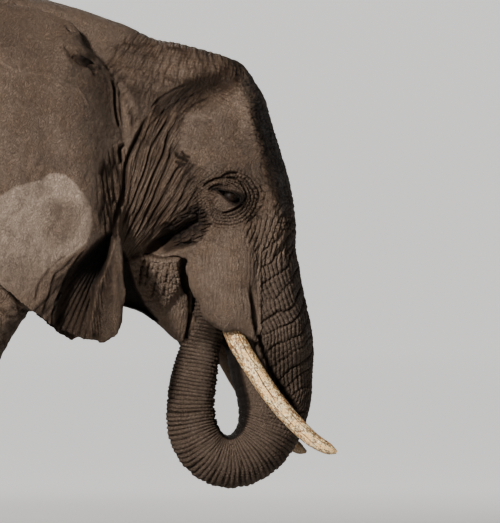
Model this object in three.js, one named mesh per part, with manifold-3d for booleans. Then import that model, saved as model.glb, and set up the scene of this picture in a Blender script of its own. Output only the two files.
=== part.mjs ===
// African bush elephant, adult cow, standing with her trunk curled up to her mouth.
// Millimetres, +Z up. She faces +X, her right side is at -Y, and her soles are at Z = 0.
// The flesh is lofted whole, then parted into named pieces by thin cuts.
import * as THREE from "three";
import { LoftGeometry } from "three/addons/geometries/LoftGeometry.js";
import { mergeVertices } from "three/addons/utils/BufferGeometryUtils.js";
import Module from "manifold-3d";

const wasm = await Module();
wasm.setup();

// ---------------------------------------------------------------- sizes
const GAP = 0.5; // width of the cuts between pieces
const SIDES = { left: 1, right: -1 };

// Torso, rear to front: x, top, bottom, height of the widest place, half width, squareness
const TORSO = [
  [-1664, 1900, 1580, 1730, 90, 2.0],
  [-1640, 2070, 1380, 1730, 285, 2.2],
  [-1560, 2240, 1225, 1720, 415, 2.3],
  [-1400, 2385, 1085, 1700, 492, 2.2],
  [-1150, 2458, 1000, 1620, 545, 2.1],
  [-850, 2446, 955, 1560, 582, 2.1],
  [-520, 2430, 965, 1540, 590, 2.1],
  [-230, 2465, 1020, 1560, 550, 2.1],
  [20, 2535, 1080, 1600, 488, 2.1],
  [230, 2535, 1120, 1630, 435, 2.1],
  [380, 2490, 1175, 1650, 368, 2.1],
  [450, 2400, 1290, 1700, 250, 2.0],
];
// Neck, shoulder to head, in the torso's columns
const NECK = [
  [180, 2530, 1200, 1700, 425, 2.1],
  [420, 2508, 1190, 1720, 395, 2.1],
  [600, 2468, 1215, 1760, 350, 2.1],
  [820, 2402, 1262, 1800, 306, 2.1],
  [990, 2328, 1380, 1830, 276, 2.1],
  [1100, 2270, 1500, 1850, 240, 2.0],
];
// Skin of the throat from the neck to the chin, in the torso's columns
const THROAT = [
  [640, 1600, 1222, 1400, 190, 2.0],
  [870, 1520, 1236, 1380, 150, 2.0],
  [1010, 1420, 1152, 1290, 105, 2.0],
  [1066, 1330, 1122, 1220, 60, 2.0],
];
// Skull, crown to palate: height at the widest place, fall of the section towards the front,
// x of its back, front and widest place, half width, squareness, distance from the midline
const SKULL = [
  [2291, 0.24, 1010, 1230, 1120, 64, 2.0, 0],
  [2275, 0.22, 955, 1314, 1130, 152, 2.0, 0],
  [2238, 0.16, 912, 1388, 1140, 218, 2.1, 0],
  [2150, 0.08, 878, 1426, 1140, 258, 2.2, 0],
  [2030, 0, 856, 1462, 1130, 276, 2.2, 0],
  [1880, 0, 860, 1502, 1120, 288, 2.2, 0],
  [1750, 0, 880, 1538, 1120, 316, 2.1, 0],
  [1610, 0, 900, 1564, 1130, 310, 2.1, 0],
  [1490, 0, 925, 1574, 1160, 276, 2.1, 0],
  [1400, 0, 985, 1540, 1220, 232, 2.0, 0],
  [1335, 0, 1090, 1470, 1280, 170, 2.0, 0],
];
// Cheek and tusk sheath, down to the lip, in the skull's columns
const SHEATH = [
  [1780, 0, 1170, 1415, 1290, 90, 2.0, 120],
  [1620, 0, 1125, 1432, 1285, 116, 2.1, 160],
  [1460, 0.1, 1098, 1424, 1275, 118, 2.2, 185],
  [1300, 0.3, 1110, 1404, 1270, 106, 2.2, 204],
  [1190, 0.4, 1132, 1404, 1290, 92, 2.2, 214],
  [1128, 0.4, 1225, 1404, 1325, 74, 2.1, 221],
  [1098, 0.3, 1300, 1400, 1350, 46, 2.0, 224],
  [1082, 0.2, 1342, 1394, 1368, 18, 2.0, 224],
];
// Lower jaw, hanging open round the trunk's end, in the skull's columns
const JAW = [
  [1620, 0, 905, 1090, 1000, 190, 2.0, 0],
  [1500, 0, 880, 1118, 1000, 196, 2.1, 0],
  [1400, 0, 902, 1146, 1030, 176, 2.2, 0],
  [1270, 0, 952, 1170, 1070, 138, 2.2, 0],
  [1170, 0, 1012, 1168, 1100, 102, 2.1, 0],
  [1112, 0, 1062, 1160, 1115, 68, 2.0, 0],
  [1088, 0, 1088, 1144, 1117, 36, 2.0, 0],
  [1080, 0, 1104, 1130, 1117, 12, 2.0, 0],
];
// Trunk, root to tip, along its middle: x, z, half depth, half width
const TRUNK = [
  [1440, 1560, 130, 150],
  [1450, 1400, 152, 170],
  [1462, 1240, 172, 172],
  [1478, 1100, 179, 165],
  [1494, 965, 171, 155],
  [1514, 830, 147, 144],
  [1481, 706, 130, 133],
  [1414, 619, 119, 124],
  [1316, 583, 109, 116],
  [1224, 621, 108, 110],
  [1168, 713, 107, 104],
  [1158, 836, 100, 98],
  [1177, 955, 96, 90],
  [1200, 1062, 82, 79],
  [1218, 1150, 68, 70],
  [1226, 1232, 60, 64],
  [1228, 1300, 55, 58],
];
const TRUNK_LENGTHS = { upper: [1, 4], middle: [4, 7.5], bend: [7.5, 11], end: [11, 16] }; // in rows
const TRUNK_SECTIONS = 2.4; // for each row
const CUT = 0.004; // of a row, about half a millimetre
// Tusk, root to tip: x, distance from the midline, z, radius
const TUSK = [
  [1247, 193, 1262, 38],
  [1304, 217, 1097, 39],
  [1366, 243, 984, 38],
  [1434, 264, 877, 37],
  [1512, 281, 778, 35],
  [1599, 296, 691, 31],
  [1668, 306, 648, 24],
  [1699, 310, 634, 12],
];
const TUSK_START = 0.001; // of its length, so that its root stands clear of its socket's end
const GUM = 3; // between the tusk and the sheath
const LIP_ROOM = 12; // between the trunk's end and the mouth
const MOUTH = { at: [1210, 0, 1240], half: [95, 85, 120] };
const EYE = { at: [1272, 277, 1670], radius: 30 };

// Foreleg, sole to shoulder: z, x, distance from the midline, half length, half width
const FORELEG = [
  [0, 20, 330, 190, 184],
  [40, 18, 330, 205, 198],
  [130, 8, 330, 190, 184],
  [260, 0, 330, 162, 156],
  [400, 0, 330, 150, 144],
  [560, 4, 330, 162, 150],
  [780, 4, 332, 178, 162],
  [980, 0, 334, 208, 174],
  [1180, 22, 334, 288, 180],
  [1420, 60, 326, 322, 176],
  [1700, 80, 306, 290, 150],
  [1920, 110, 270, 210, 100],
];
// Hind leg, in the foreleg's columns
const HINDLEG = [
  [0, 25, 300, 188, 156],
  [40, 22, 300, 203, 168],
  [130, 4, 300, 186, 156],
  [260, -14, 300, 156, 140],
  [400, -20, 300, 146, 132],
  [560, -10, 302, 164, 140],
  [740, 14, 306, 198, 156],
  [920, 36, 312, 252, 178],
  [1120, 34, 318, 314, 200],
  [1360, 10, 308, 334, 208],
  [1600, -15, 280, 316, 198],
  [1850, -30, 232, 250, 150],
];
// Where each leg stands, and the cut that parts it: a round top, a narrow foot and an inner face
const LEGS = {
  foreleg: {
    rows: FORELEG,
    x: { left: -50, right: 80 },
    cut: { x: 45, z: 1330, radius: 340, foot: 260, inner: 112 },
  },
  hindleg: {
    rows: HINDLEG,
    x: { left: -1370, right: -1240 },
    cut: { x: 0, z: 1390, radius: 345, foot: 240, inner: 84 },
  },
};
// Nails round the front of each foot: angles from straight ahead towards the outside, in degrees
const NAIL_ANGLES = { foreleg: [-50, -16, 18, 52], hindleg: [-34, 4, 42] };
const NAIL = { half: [24, 42, 44], z: 60, sunk: 14 };

// Tail, root to end: x, z, half depth, half width
const TAIL = [
  [-1560, 2110, 90, 90],
  [-1622, 2020, 66, 70],
  [-1652, 1860, 44, 48],
  [-1660, 1600, 31, 34],
  [-1660, 1300, 24, 26],
  [-1660, 980, 16, 18],
];
// Hair at the tail's end, in the tail's columns
const TUFT = [
  [-1660, 979.5, 17, 19],
  [-1660, 900, 30, 26],
  [-1662, 760, 34, 24],
  [-1664, 640, 14, 10],
];

// Ear: its root along the neck, top to bottom: x, distance from the midline, z
const EAR_ROOT = [
  [690, 205, 2262],
  [800, 236, 2130],
  [838, 262, 1960],
  [838, 272, 1800],
  [824, 262, 1640],
  [812, 240, 1530],
];
// The ear's free rim, top to bottom: x, z
const EAR_RIM = [
  [682, 2310],
  [600, 2392],
  [430, 2446],
  [240, 2452],
  [70, 2400],
  [-50, 2280],
  [-112, 2110],
  [-108, 1920],
  [-40, 1720],
  [80, 1530],
  [220, 1370],
  [370, 1240],
  [520, 1140],
  [660, 1085],
  [760, 1080],
  [820, 1130],
  [838, 1250],
  [828, 1380],
  [816, 1490],
];
const EAR_THICKNESS = { root: 44, rim: 15 };
const EAR_ROOT_BEND = 180; // from the root to where the ear stands free
const EAR_CURL = { above: 2140, rate: 0.0027 }; // the top folds in over the neck
const EAR_PLEATS = { from: 0.62, to: 0.98, count: 4, depth: 16 };
const EAR_LIFT = { left: 85, right: 0 }; // how much higher the ear's hem hangs behind its lobe

const SKIN = { color: 0x5d4c41, roughness: 0.9, metalness: 0 };
const EAR_SKIN = { color: 0x6d594c, roughness: 0.88, metalness: 0 };
const IVORY = { color: 0xcdb596, roughness: 0.45, metalness: 0 };
const NAIL_HORN = { color: 0x7d6f60, roughness: 0.6, metalness: 0 };
const HAIR = { color: 0x1e1916, roughness: 0.6, metalness: 0 };
const EYEBALL = { color: 0x2a1a10, roughness: 0.1, metalness: 0 };

// ---------------------------------------------------------------- lofts
// Catmull-Rom spline through equally spaced rows of numbers, read at u from 0 to rows.length - 1
function splineAt(rows, u) {
  const last = rows.length - 1;
  const i = Math.min(Math.floor(u), last - 1);
  const t = u - i;
  const [a, b, c, d] = [i - 1, i, i + 1, i + 2].map((k) => rows[Math.min(Math.max(k, 0), last)]);
  return b.map((_, k) => {
    const slope0 = (c[k] - a[k]) / 2;
    const slope1 = (d[k] - b[k]) / 2;
    const rise = c[k] - b[k];
    return b[k] + t * (slope0 + t * (3 * rise - 2 * slope0 - slope1 + t * (slope0 + slope1 - 2 * rise)));
  });
}

function steps(count, from, to) {
  return Array.from({ length: count }, (_, i) => THREE.MathUtils.lerp(from, to, i / (count - 1)));
}

function refine(rows, count) {
  return steps(count, 0, rows.length - 1).map((u) => splineAt(rows, u));
}

// One turn of a superellipse: [across, along] from -1 to 1 at each of count points
function unitRing(count, squareness) {
  return Array.from({ length: count }, (_, i) => {
    const angle = (2 * Math.PI * i) / count;
    const bend = (v) => Math.sign(v) * Math.abs(v) ** (2 / squareness);
    return [bend(Math.cos(angle)), bend(Math.sin(angle))];
  });
}

function solid(geometry) {
  const bare = new THREE.BufferGeometry();
  bare.setAttribute("position", geometry.getAttribute("position"));
  bare.setIndex(geometry.getIndex());
  const merged = mergeVertices(bare, 1e-3);
  return new wasm.Manifold(
    new wasm.Mesh({
      numProp: 3,
      vertProperties: new Float32Array(merged.attributes.position.array),
      triVerts: new Uint32Array(merged.index.array),
    }),
  );
}

function centre(ring) {
  return ring.reduce((sum, p) => sum.add(p), new THREE.Vector3()).divideScalar(ring.length);
}

// A closed solid through rings of points, which are turned round where they run clockwise
function loft(rings) {
  const ahead = centre(rings[1]).sub(centre(rings[0]));
  const area = new THREE.Vector3();
  rings[0].forEach((p, i) => area.add(p.clone().cross(rings[0][(i + 1) % rings[0].length])));
  const sections = area.dot(ahead) > 0 ? rings : rings.map((ring) => ring.slice().reverse());
  return solid(new LoftGeometry(sections, { capStart: true, capEnd: true }));
}

// Upright sections across X, each enlarged by grow
function bodyLoft(rows, count, around, grow = 0) {
  const section = ([x, top, bottom, middle, width, squareness]) =>
    unitRing(around, squareness).map(([a, b]) => {
      const height = grow + (b > 0 ? top - middle : middle - bottom);
      return new THREE.Vector3(x, (width + grow) * a, middle + height * b);
    });
  return loft(refine(rows, count).map(section));
}

// Level or tilted sections across Z, each enlarged by grow
function headLoft(rows, count, around, side = 1, grow = 0) {
  const section = ([z, fall, back, front, middle, width, squareness, offset]) =>
    unitRing(around, squareness).map(([a, b]) => {
      const ahead = a * (grow + (a > 0 ? front - middle : middle - back));
      return new THREE.Vector3(middle + ahead, side * offset + (width + grow) * b, z - fall * ahead);
    });
  return loft(refine(rows, count).map(section));
}

function legLoft(rows, side, atX) {
  const section = ([z, x, y, length, width]) =>
    unitRing(12, 2.15).map(([a, b]) => new THREE.Vector3(atX + x + length * a, side * y + width * b, z));
  return loft(refine(rows, 11).map(section));
}

// A bent tube in the plane y = 0, between two places counted in rows
function tubeLoft(rows, from, to, count, around, grow = 0) {
  const line = new THREE.CatmullRomCurve3(rows.map(([x, z]) => new THREE.Vector3(x, 0, z)));
  const section = (u) => {
    const middle = line.getPoint(u / (rows.length - 1));
    const ahead = line.getTangent(u / (rows.length - 1));
    const outward = new THREE.Vector3(-ahead.z, 0, ahead.x);
    const [, , depth, width] = splineAt(rows, u);
    return unitRing(around, 2).map(([a, b]) =>
      new THREE.Vector3(0, (width + grow) * b, 0).add(middle).addScaledVector(outward, (depth + grow) * a),
    );
  };
  return loft(steps(count, from, to).map(section));
}

// from is where its root starts, as a share of its length
function tuskLoft(side, from, grow) {
  const line = new THREE.CatmullRomCurve3(TUSK.map(([x, y, z]) => new THREE.Vector3(x, side * y, z)));
  const section = (t) => {
    const middle = line.getPoint(t);
    const ahead = line.getTangent(t);
    const across = new THREE.Vector3(0, 1, 0).cross(ahead).normalize();
    const other = ahead.clone().cross(across);
    const radius = splineAt(TUSK, t * (TUSK.length - 1))[3] + grow;
    return unitRing(10, 2).map(([a, b]) =>
      middle.clone().addScaledVector(across, radius * a).addScaledVector(other, radius * b),
    );
  };
  return loft(steps(10, from, 1).map(section));
}

function ellipsoid(at, half, turn = 0, detail = 6) {
  const geometry = new THREE.SphereGeometry(1, detail, detail - 2).scale(...half);
  return solid(geometry.rotateZ(turn).translate(...at));
}

// ---------------------------------------------------------------- ear
// How far the ear's sheet stands from the midline once it is clear of its root
function earStand(x, z, out) {
  const back = THREE.MathUtils.clamp((838 - x) / 950, -0.1, 1);
  const cup = 34 * Math.sin(Math.PI * THREE.MathUtils.clamp((z - 1080) / 1370, 0, 1)) * out;
  const curl = EAR_CURL.rate * Math.max(z - EAR_CURL.above, 0) ** 2;
  return 300 + 330 * Math.sin(1.5 * back) - 40 * back * back + cup - curl;
}

// Pleats that fan from the root's low end to the hem
function earPleat(s, t) {
  const along = (s - EAR_PLEATS.from) / (EAR_PLEATS.to - EAR_PLEATS.from);
  if (along <= 0 || along >= 1) {
    return 0;
  }
  return EAR_PLEATS.depth * t * Math.sin(Math.PI * along) * Math.sin(2 * Math.PI * EAR_PLEATS.count * along);
}

// A closed plate between two sheets of points, each a grid of rows
function plate(inner, outer) {
  const rows = inner.length;
  const columns = inner[0].length;
  const points = [...inner.flat(), ...outer.flat()];
  const at = (face, i, j) => (face * rows + i) * columns + j;
  const index = [];
  const quad = (a, b, c, d) => index.push(a, b, c, a, c, d);
  for (let i = 0; i < rows - 1; i++) {
    for (let j = 0; j < columns - 1; j++) {
      quad(at(0, i, j), at(0, i, j + 1), at(0, i + 1, j + 1), at(0, i + 1, j));
      quad(at(1, i, j), at(1, i + 1, j), at(1, i + 1, j + 1), at(1, i, j + 1));
    }
    quad(at(0, i, 0), at(0, i + 1, 0), at(1, i + 1, 0), at(1, i, 0));
    quad(at(0, i, columns - 1), at(1, i, columns - 1), at(1, i + 1, columns - 1), at(0, i + 1, columns - 1));
  }
  for (let j = 0; j < columns - 1; j++) {
    quad(at(0, 0, j), at(1, 0, j), at(1, 0, j + 1), at(0, 0, j + 1));
    quad(at(0, rows - 1, j), at(0, rows - 1, j + 1), at(1, rows - 1, j + 1), at(1, rows - 1, j));
  }
  return solid(new THREE.BufferGeometry().setFromPoints(points).setIndex(index));
}

function earSolid(name) {
  const side = SIDES[name];
  const roots = refine(EAR_ROOT, 22);
  const rims = refine(EAR_RIM, 22);
  const point = (i, t, face) => {
    const [rootX, rootY, rootZ] = roots[i];
    const [rimX, rimZ] = rims[i];
    const x = THREE.MathUtils.lerp(rootX, rimX, t);
    const flatZ = THREE.MathUtils.lerp(rootZ, rimZ, t);
    const hem = THREE.MathUtils.smoothstep(1500 - flatZ, 0, 350) * THREE.MathUtils.smoothstep(740 - x, 0, 200);
    const z = flatZ + EAR_LIFT[name] * hem;
    const free = THREE.MathUtils.smoothstep(t * Math.hypot(rimX - rootX, rimZ - rootZ), 0, EAR_ROOT_BEND);
    const thickness = THREE.MathUtils.lerp(EAR_THICKNESS.root, EAR_THICKNESS.rim, Math.sqrt(t));
    const middle = THREE.MathUtils.lerp(rootY, earStand(x, z, t), free) + earPleat(i / (roots.length - 1), t);
    return new THREE.Vector3(x, side * (middle + (face * thickness) / 2), z);
  };
  const sheet = (face) => roots.map((_, i) => steps(6, 0, 1).map((t) => point(i, t ** 1.3, face)));
  return plate(sheet(-side), sheet(side));
}

// ---------------------------------------------------------------- regions to part the flesh
// A prism with an outline in X and Z, between two distances across the body
function prism(outline, from, to) {
  const shape = new THREE.Shape(outline.map(([x, z]) => new THREE.Vector2(x, z)));
  const geometry = new THREE.ExtrudeGeometry(shape, { depth: to - from, bevelEnabled: false });
  return solid(geometry.rotateX(Math.PI / 2).translate(0, to, 0));
}

// The leg's share of the flesh: narrow at the foot, with a round top over the shoulder or thigh
function legRegion(kind, name, grow = 0) {
  const { x, cut } = LEGS[kind];
  const middle = x[name] + cut.x;
  const outline = steps(8, 0, Math.PI).map((angle) => [
    middle + (cut.radius + grow) * Math.cos(angle),
    cut.z + (cut.radius + grow) * Math.sin(angle),
  ]);
  outline.push([middle - cut.foot - grow, -50], [middle + cut.foot + grow, -50]);
  const inner = cut.inner - grow;
  return SIDES[name] > 0 ? prism(outline, inner, 900) : prism(outline, -900, -inner);
}

function jawRegion(grow = 0) {
  const outline = [
    [880, 1050],
    [1176 + grow, 1050],
    [1172 + grow, 1380 + grow],
    [1122 + grow, 1425 + grow],
    [880, 1425 + grow],
  ];
  return prism(outline, -500, 500);
}

// Between two slanted lines across the neck, each given by its x at the throat and at the nape
function bandRegion([throat0, nape0], [throat1, nape1]) {
  const outline = [
    [throat0, 0],
    [throat1, 0],
    [throat1, 1425],
    [nape1, 2700],
    [nape0, 2700],
    [throat0, 1425],
  ];
  return prism(outline, -900, 900);
}

// ---------------------------------------------------------------- flesh
function union(solids) {
  return solids.reduce((sum, part) => sum.add(part));
}

function without(solidPart, solids) {
  return solids.reduce((rest, part) => rest.subtract(part), solidPart);
}

function forBoth(make) {
  return Object.keys(SIDES).map(make);
}

function nails(kind, name) {
  const { rows, x } = LEGS[kind];
  const [, footX, footY, length, width] = splineAt(rows, 1.1);
  return NAIL_ANGLES[kind].map((degrees) => {
    const angle = SIDES[name] * THREE.MathUtils.degToRad(degrees);
    const at = [
      x[name] + footX + (length - NAIL.sunk) * Math.cos(angle),
      SIDES[name] * footY + (width - NAIL.sunk) * Math.sin(angle),
      NAIL.z,
    ];
    return (grow) => ellipsoid(at, NAIL.half.map((size) => size + grow), angle);
  });
}

const neck = (grow) => bodyLoft(NECK, 7, 20, grow);
const skull = (grow) => headLoft(SKULL, 13, 20, 1, grow);
const sheath = (name, grow) => headLoft(SHEATH, 9, 12, SIDES[name], grow);
const eye = (name, grow) =>
  ellipsoid([EYE.at[0], SIDES[name] * EYE.at[1], EYE.at[2]], Array(3).fill(EYE.radius + grow), 0, 8);
const trunkLength = ([from, to], grow) => {
  const sections = Math.round(TRUNK_SECTIONS * (to - from)) + 1;
  return tubeLoft(TRUNK, from, to, sections, 12, grow);
};
const trunkRoom = [trunkLength(TRUNK_LENGTHS.upper, GAP), trunkLength(TRUNK_LENGTHS.end, LIP_ROOM)];
const mouth = ellipsoid(MOUTH.at, MOUTH.half);
const tuskRoom = forBoth((name) => tuskLoft(SIDES[name], 0, GUM));

const pieces = {};
let flesh = union([
  bodyLoft(TORSO, 14, 20),
  neck(0),
  bodyLoft(THROAT, 5, 10),
  skull(0),
  headLoft(JAW, 8, 12),
]);
for (const kind of Object.keys(LEGS)) {
  flesh = flesh.add(union(forBoth((name) => legLoft(LEGS[kind].rows, SIDES[name], LEGS[kind].x[name]))));
}

for (const kind of Object.keys(LEGS)) {
  for (const name of Object.keys(SIDES)) {
    const claws = nails(kind, name);
    const leg = flesh.intersect(legRegion(kind, name));
    pieces[`${kind}_${name}`] = [without(leg, claws.map((claw) => claw(GAP))), SKIN];
    claws.forEach((claw, i) => {
      pieces[`nail_${kind}_${name}_${i + 1}`] = [claw(0), NAIL_HORN];
    });
  }
}
for (const kind of Object.keys(LEGS)) {
  flesh = without(flesh, forBoth((name) => legRegion(kind, name, GAP)));
}

const TAIL_ROWS = TAIL.length - 1;
const torso = flesh.intersect(bandRegion([-2000, -2000], [420, 420]));
pieces.torso = [torso.subtract(tubeLoft(TAIL, 0, TAIL_ROWS, 8, 8, 2 * GAP)), SKIN];
pieces.tail = [tubeLoft(TAIL, 2 * CUT, TAIL_ROWS, 8, 8), SKIN];
pieces.tail_tuft = [tubeLoft(TUFT, 0, TUFT.length - 1, 6, 8), HAIR];
pieces.neck = [flesh.intersect(bandRegion([420 + GAP, 420 + GAP], [880, 930])), SKIN];

const front = flesh.intersect(bandRegion([880 + GAP, 930 + GAP], [2000, 2000]));
const rooms = [...trunkRoom, mouth, ...tuskRoom];
pieces.lower_jaw = [
  without(front.intersect(jawRegion()), [...forBoth((name) => sheath(name, GAP)), ...rooms]),
  SKIN,
];
const cheeks = union([tubeLoft(TRUNK, 0, 1 + CUT / 2, 3, 12), ...forBoth((name) => sheath(name, 0))]);
const eyeRoom = forBoth((name) => eye(name, GAP));
pieces.head = [without(front.subtract(jawRegion(GAP)).add(cheeks), [...rooms, ...eyeRoom]), SKIN];

for (const [length, [from, to]] of Object.entries(TRUNK_LENGTHS)) {
  pieces[`trunk_${length}`] = [trunkLength([from + CUT, to], 0), SKIN];
}
for (const name of Object.keys(SIDES)) {
  pieces[`ear_${name}`] = [without(earSolid(name), [neck(GAP), skull(GAP)]), EAR_SKIN];
  pieces[`eye_${name}`] = [eye(name, 0), EYEBALL];
  pieces[`tusk_${name}`] = [tuskLoft(SIDES[name], TUSK_START, 0), IVORY];
}

// ---------------------------------------------------------------- scene graph
export const elephant = new THREE.Group();
for (const [name, [part, finish]] of Object.entries(pieces)) {
  const { vertProperties, triVerts } = part.getMesh();
  const geometry = new THREE.BufferGeometry();
  geometry.setAttribute("position", new THREE.BufferAttribute(vertProperties, 3));
  geometry.setIndex(new THREE.BufferAttribute(triVerts, 1));
  const mesh = new THREE.Mesh(geometry, new THREE.MeshStandardMaterial(finish));
  mesh.name = name;
  elephant.add(mesh);
}
export default elephant;
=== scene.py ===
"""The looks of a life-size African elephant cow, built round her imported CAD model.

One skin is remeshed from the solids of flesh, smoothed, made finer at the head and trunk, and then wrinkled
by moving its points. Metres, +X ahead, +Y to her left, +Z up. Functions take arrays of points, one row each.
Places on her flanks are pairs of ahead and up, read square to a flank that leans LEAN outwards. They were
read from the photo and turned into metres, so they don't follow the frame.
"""
import math

import bmesh
import bpy
import numpy as np
from mathutils import Euler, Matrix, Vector
from mathutils.bvhtree import BVHTree


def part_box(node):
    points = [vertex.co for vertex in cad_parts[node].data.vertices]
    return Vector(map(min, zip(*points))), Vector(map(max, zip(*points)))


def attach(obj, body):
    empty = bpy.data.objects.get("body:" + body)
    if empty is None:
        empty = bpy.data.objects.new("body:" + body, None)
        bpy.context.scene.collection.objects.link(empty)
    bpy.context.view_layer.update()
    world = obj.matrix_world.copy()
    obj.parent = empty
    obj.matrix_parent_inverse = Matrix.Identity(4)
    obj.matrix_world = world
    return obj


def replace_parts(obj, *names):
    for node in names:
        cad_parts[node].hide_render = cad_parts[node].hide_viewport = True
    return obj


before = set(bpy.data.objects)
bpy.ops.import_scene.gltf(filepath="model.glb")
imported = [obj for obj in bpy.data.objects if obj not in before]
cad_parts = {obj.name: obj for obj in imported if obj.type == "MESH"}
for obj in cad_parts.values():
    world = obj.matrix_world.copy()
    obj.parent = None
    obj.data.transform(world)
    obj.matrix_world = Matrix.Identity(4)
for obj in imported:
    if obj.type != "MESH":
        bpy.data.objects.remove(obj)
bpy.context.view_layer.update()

FLESH = [
    "torso", "neck", "head", "lower_jaw", "trunk_upper", "trunk_middle", "trunk_bend", "trunk_end",
    "ear_left", "ear_right", "foreleg_left", "foreleg_right", "hindleg_left", "hindleg_right", "tail",
]
SIDES = {"left": 1, "right": -1}
VOXEL = 0.0116
LEAN = math.radians(11)
CHART_GAP = 0.016
WELD_GROWTH = 0.0004  # how far each solid is pushed out to meet its neighbours
FOLD = 0.0041  # unit of the folds' widths, which is one of the photo's pixels on her
SLIT_TILT = math.radians(-24)
EYE_SLIT = (0.058, 0.038, 0.015,
            0.018)  # length behind and ahead of the eye's middle, height above and below it
VIEW_CENTRE = (1.406, 0.0, 1.407)
VIEW_HEIGHT = 2.144
VIEW_DISTANCE = 25

SKIN_DARK, SKIN_LIGHT = (0.066, 0.047, 0.036), (0.112, 0.081, 0.062)
SKIN_WARM, SKIN_PALE = (0.104, 0.068, 0.046), (0.160, 0.124, 0.100)
DUST = (0.250, 0.200, 0.165)
IVORY, IVORY_PALE = (0.88, 0.58, 0.27), (1.0, 0.82, 0.50)
IVORY_BROWN, IVORY_DARK = (0.17, 0.078, 0.030), (0.060, 0.027, 0.010)

# Middle line of a tusk, root to tip: x, distance from the middle, z, radius
TUSK = [
    (1.229, 0.185, 1.330, 0.036), (1.247, 0.193, 1.262, 0.038), (1.304, 0.217, 1.097, 0.039),
    (1.366, 0.243, 0.984, 0.038), (1.434, 0.264, 0.877, 0.037), (1.512, 0.281, 0.778, 0.035),
    (1.599, 0.296, 0.691, 0.031), (1.668, 0.306, 0.648, 0.024), (1.704, 0.311, 0.632, 0.007),
]
TUSK_ROWS, TUSK_SIDES = 230, 120
LEFT_TIP_DROP = 0.017
NAIL_ROWS, NAIL_SIDES = 56, 84
EYE_SIDES = 64
TAIL_HAIRS, LASHES = 1500, 46
HAIR_PATCH = 0.003  # size of a hair's patch on the map
# Where each crack starts and ends along the tusk, its angle round it, and its width
TUSK_CRACKS = [
    (0.37, 0.58, 1.75, 0.0022), (0.20, 0.44, 1.25, 0.0014), (0.52, 0.84, 2.1, 0.0014),
    (0.10, 0.38, 2.4, 0.0016),
    (0.60, 0.90, 1.2, 0.0013), (0.30, 0.80, 3.5, 0.0018), (0.12, 0.50, 4.6, 0.0014),
    (0.45, 0.90, 5.5, 0.0015),
]

# Middle line of the trunk, root to tip: x, z, half depth
TRUNK = [
    (1.425, 1.730, 0.120), (1.440, 1.560, 0.130), (1.450, 1.400, 0.152), (1.462, 1.240, 0.172),
    (1.478, 1.100, 0.179), (1.494, 0.965, 0.171), (1.514, 0.830, 0.147), (1.481, 0.706, 0.130),
    (1.414, 0.619, 0.119), (1.316, 0.583, 0.109), (1.224, 0.621, 0.108), (1.168, 0.713, 0.107),
    (1.158, 0.836, 0.100), (1.177, 0.955, 0.096), (1.200, 1.062, 0.082), (1.218, 1.150, 0.068),
    (1.226, 1.232, 0.060), (1.228, 1.300, 0.055),
]
# The rows of TRUNK that each node may lie beside
TRUNK_ROWS = {"head": (0, 2.6), "trunk_upper": (1.6, 5.4), "trunk_middle": (4.6, 8.9),
              "trunk_bend": (8, 12.4),
              "trunk_end": (11.6, 17)}


# ---------------------------------------------------------------- arrays
def points_of(mesh):
    co = np.empty(len(mesh.vertices) * 3, np.float32)
    mesh.vertices.foreach_get("co", co)
    return co.reshape(-1, 3).astype(float)


def normals_of(mesh):
    found = np.empty(len(mesh.vertices) * 3, np.float32)
    mesh.vertex_normals.foreach_get("vector", found)
    return found.reshape(-1, 3).astype(float)


def smoothstep(value, low, high):
    t = np.clip((value - low) / (high - low), 0, 1)
    return t * t * (3 - 2 * t)


def bump(value, middle, width):
    return np.exp(-(((value - middle) / width) ** 2))


def hashed(ix, iy, iz, seed):
    """A number from 0 to 1 for each cell of a grid."""
    n = (ix * 374761393 + iy * 668265263 + iz * 1103515245 + seed * 974711) & 0xFFFFFFFF
    n = ((n ^ (n >> 13)) * 1274126177) & 0xFFFFFFFF
    return ((n ^ (n >> 16)) & 0xFFFFFF) / 16777216.0


def noise(points, size, seed):
    """Smooth noise from -1 to 1 over points of two or three columns."""
    p = points / size
    if p.shape[1] == 2:
        p = np.column_stack([p, np.zeros(len(p))])
    low = np.floor(p)
    t = p - low
    t = t * t * (3 - 2 * t)
    low = low.astype(np.int64)
    total = np.zeros(len(p))
    for dx in (0, 1):
        for dy in (0, 1):
            for dz in (0, 1) if points.shape[1] == 3 else (0,):
                weight = (t[:, 0] if dx else 1 - t[:, 0]) * (t[:, 1] if dy else 1 - t[:, 1])
                if points.shape[1] == 3:
                    weight = weight * (t[:, 2] if dz else 1 - t[:, 2])
                total += weight * hashed(low[:, 0] + dx, low[:, 1] + dy, low[:, 2] + dz, seed)
    return 2 * total - 1


def cell_edges(u, v, seed):
    """Distance to the nearest border between scattered cells, in cells."""
    iu, iv = np.floor(u).astype(np.int64), np.floor(v).astype(np.int64)
    zero = np.zeros_like(iu)
    around = [(a, b) for a in (-1, 0, 1) for b in (-1, 0, 1)]
    sites = []
    for a, b in around:
        su = iu + a + 0.15 + 0.7 * hashed(iu + a, iv + b, zero, seed) - u
        sv = iv + b + 0.15 + 0.7 * hashed(iu + a, iv + b, zero, seed + 1) - v
        sites.append((su, sv))
    distances = np.stack([su * su + sv * sv for su, sv in sites])
    first = distances.argmin(0)
    nearest = np.stack([np.choose(first, [s[k] for s in sites]) for k in (0, 1)])
    best = np.full(len(u), 9.0)
    for su, sv in sites:
        du, dv = su - nearest[0], sv - nearest[1]
        length = np.sqrt(du * du + dv * dv)
        between = ((nearest[0] + su) * du + (nearest[1] + sv) * dv) / 2
        best = np.where(length > 1e-6, np.minimum(best, between / np.maximum(length, 1e-6)), best)
    return best


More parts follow.
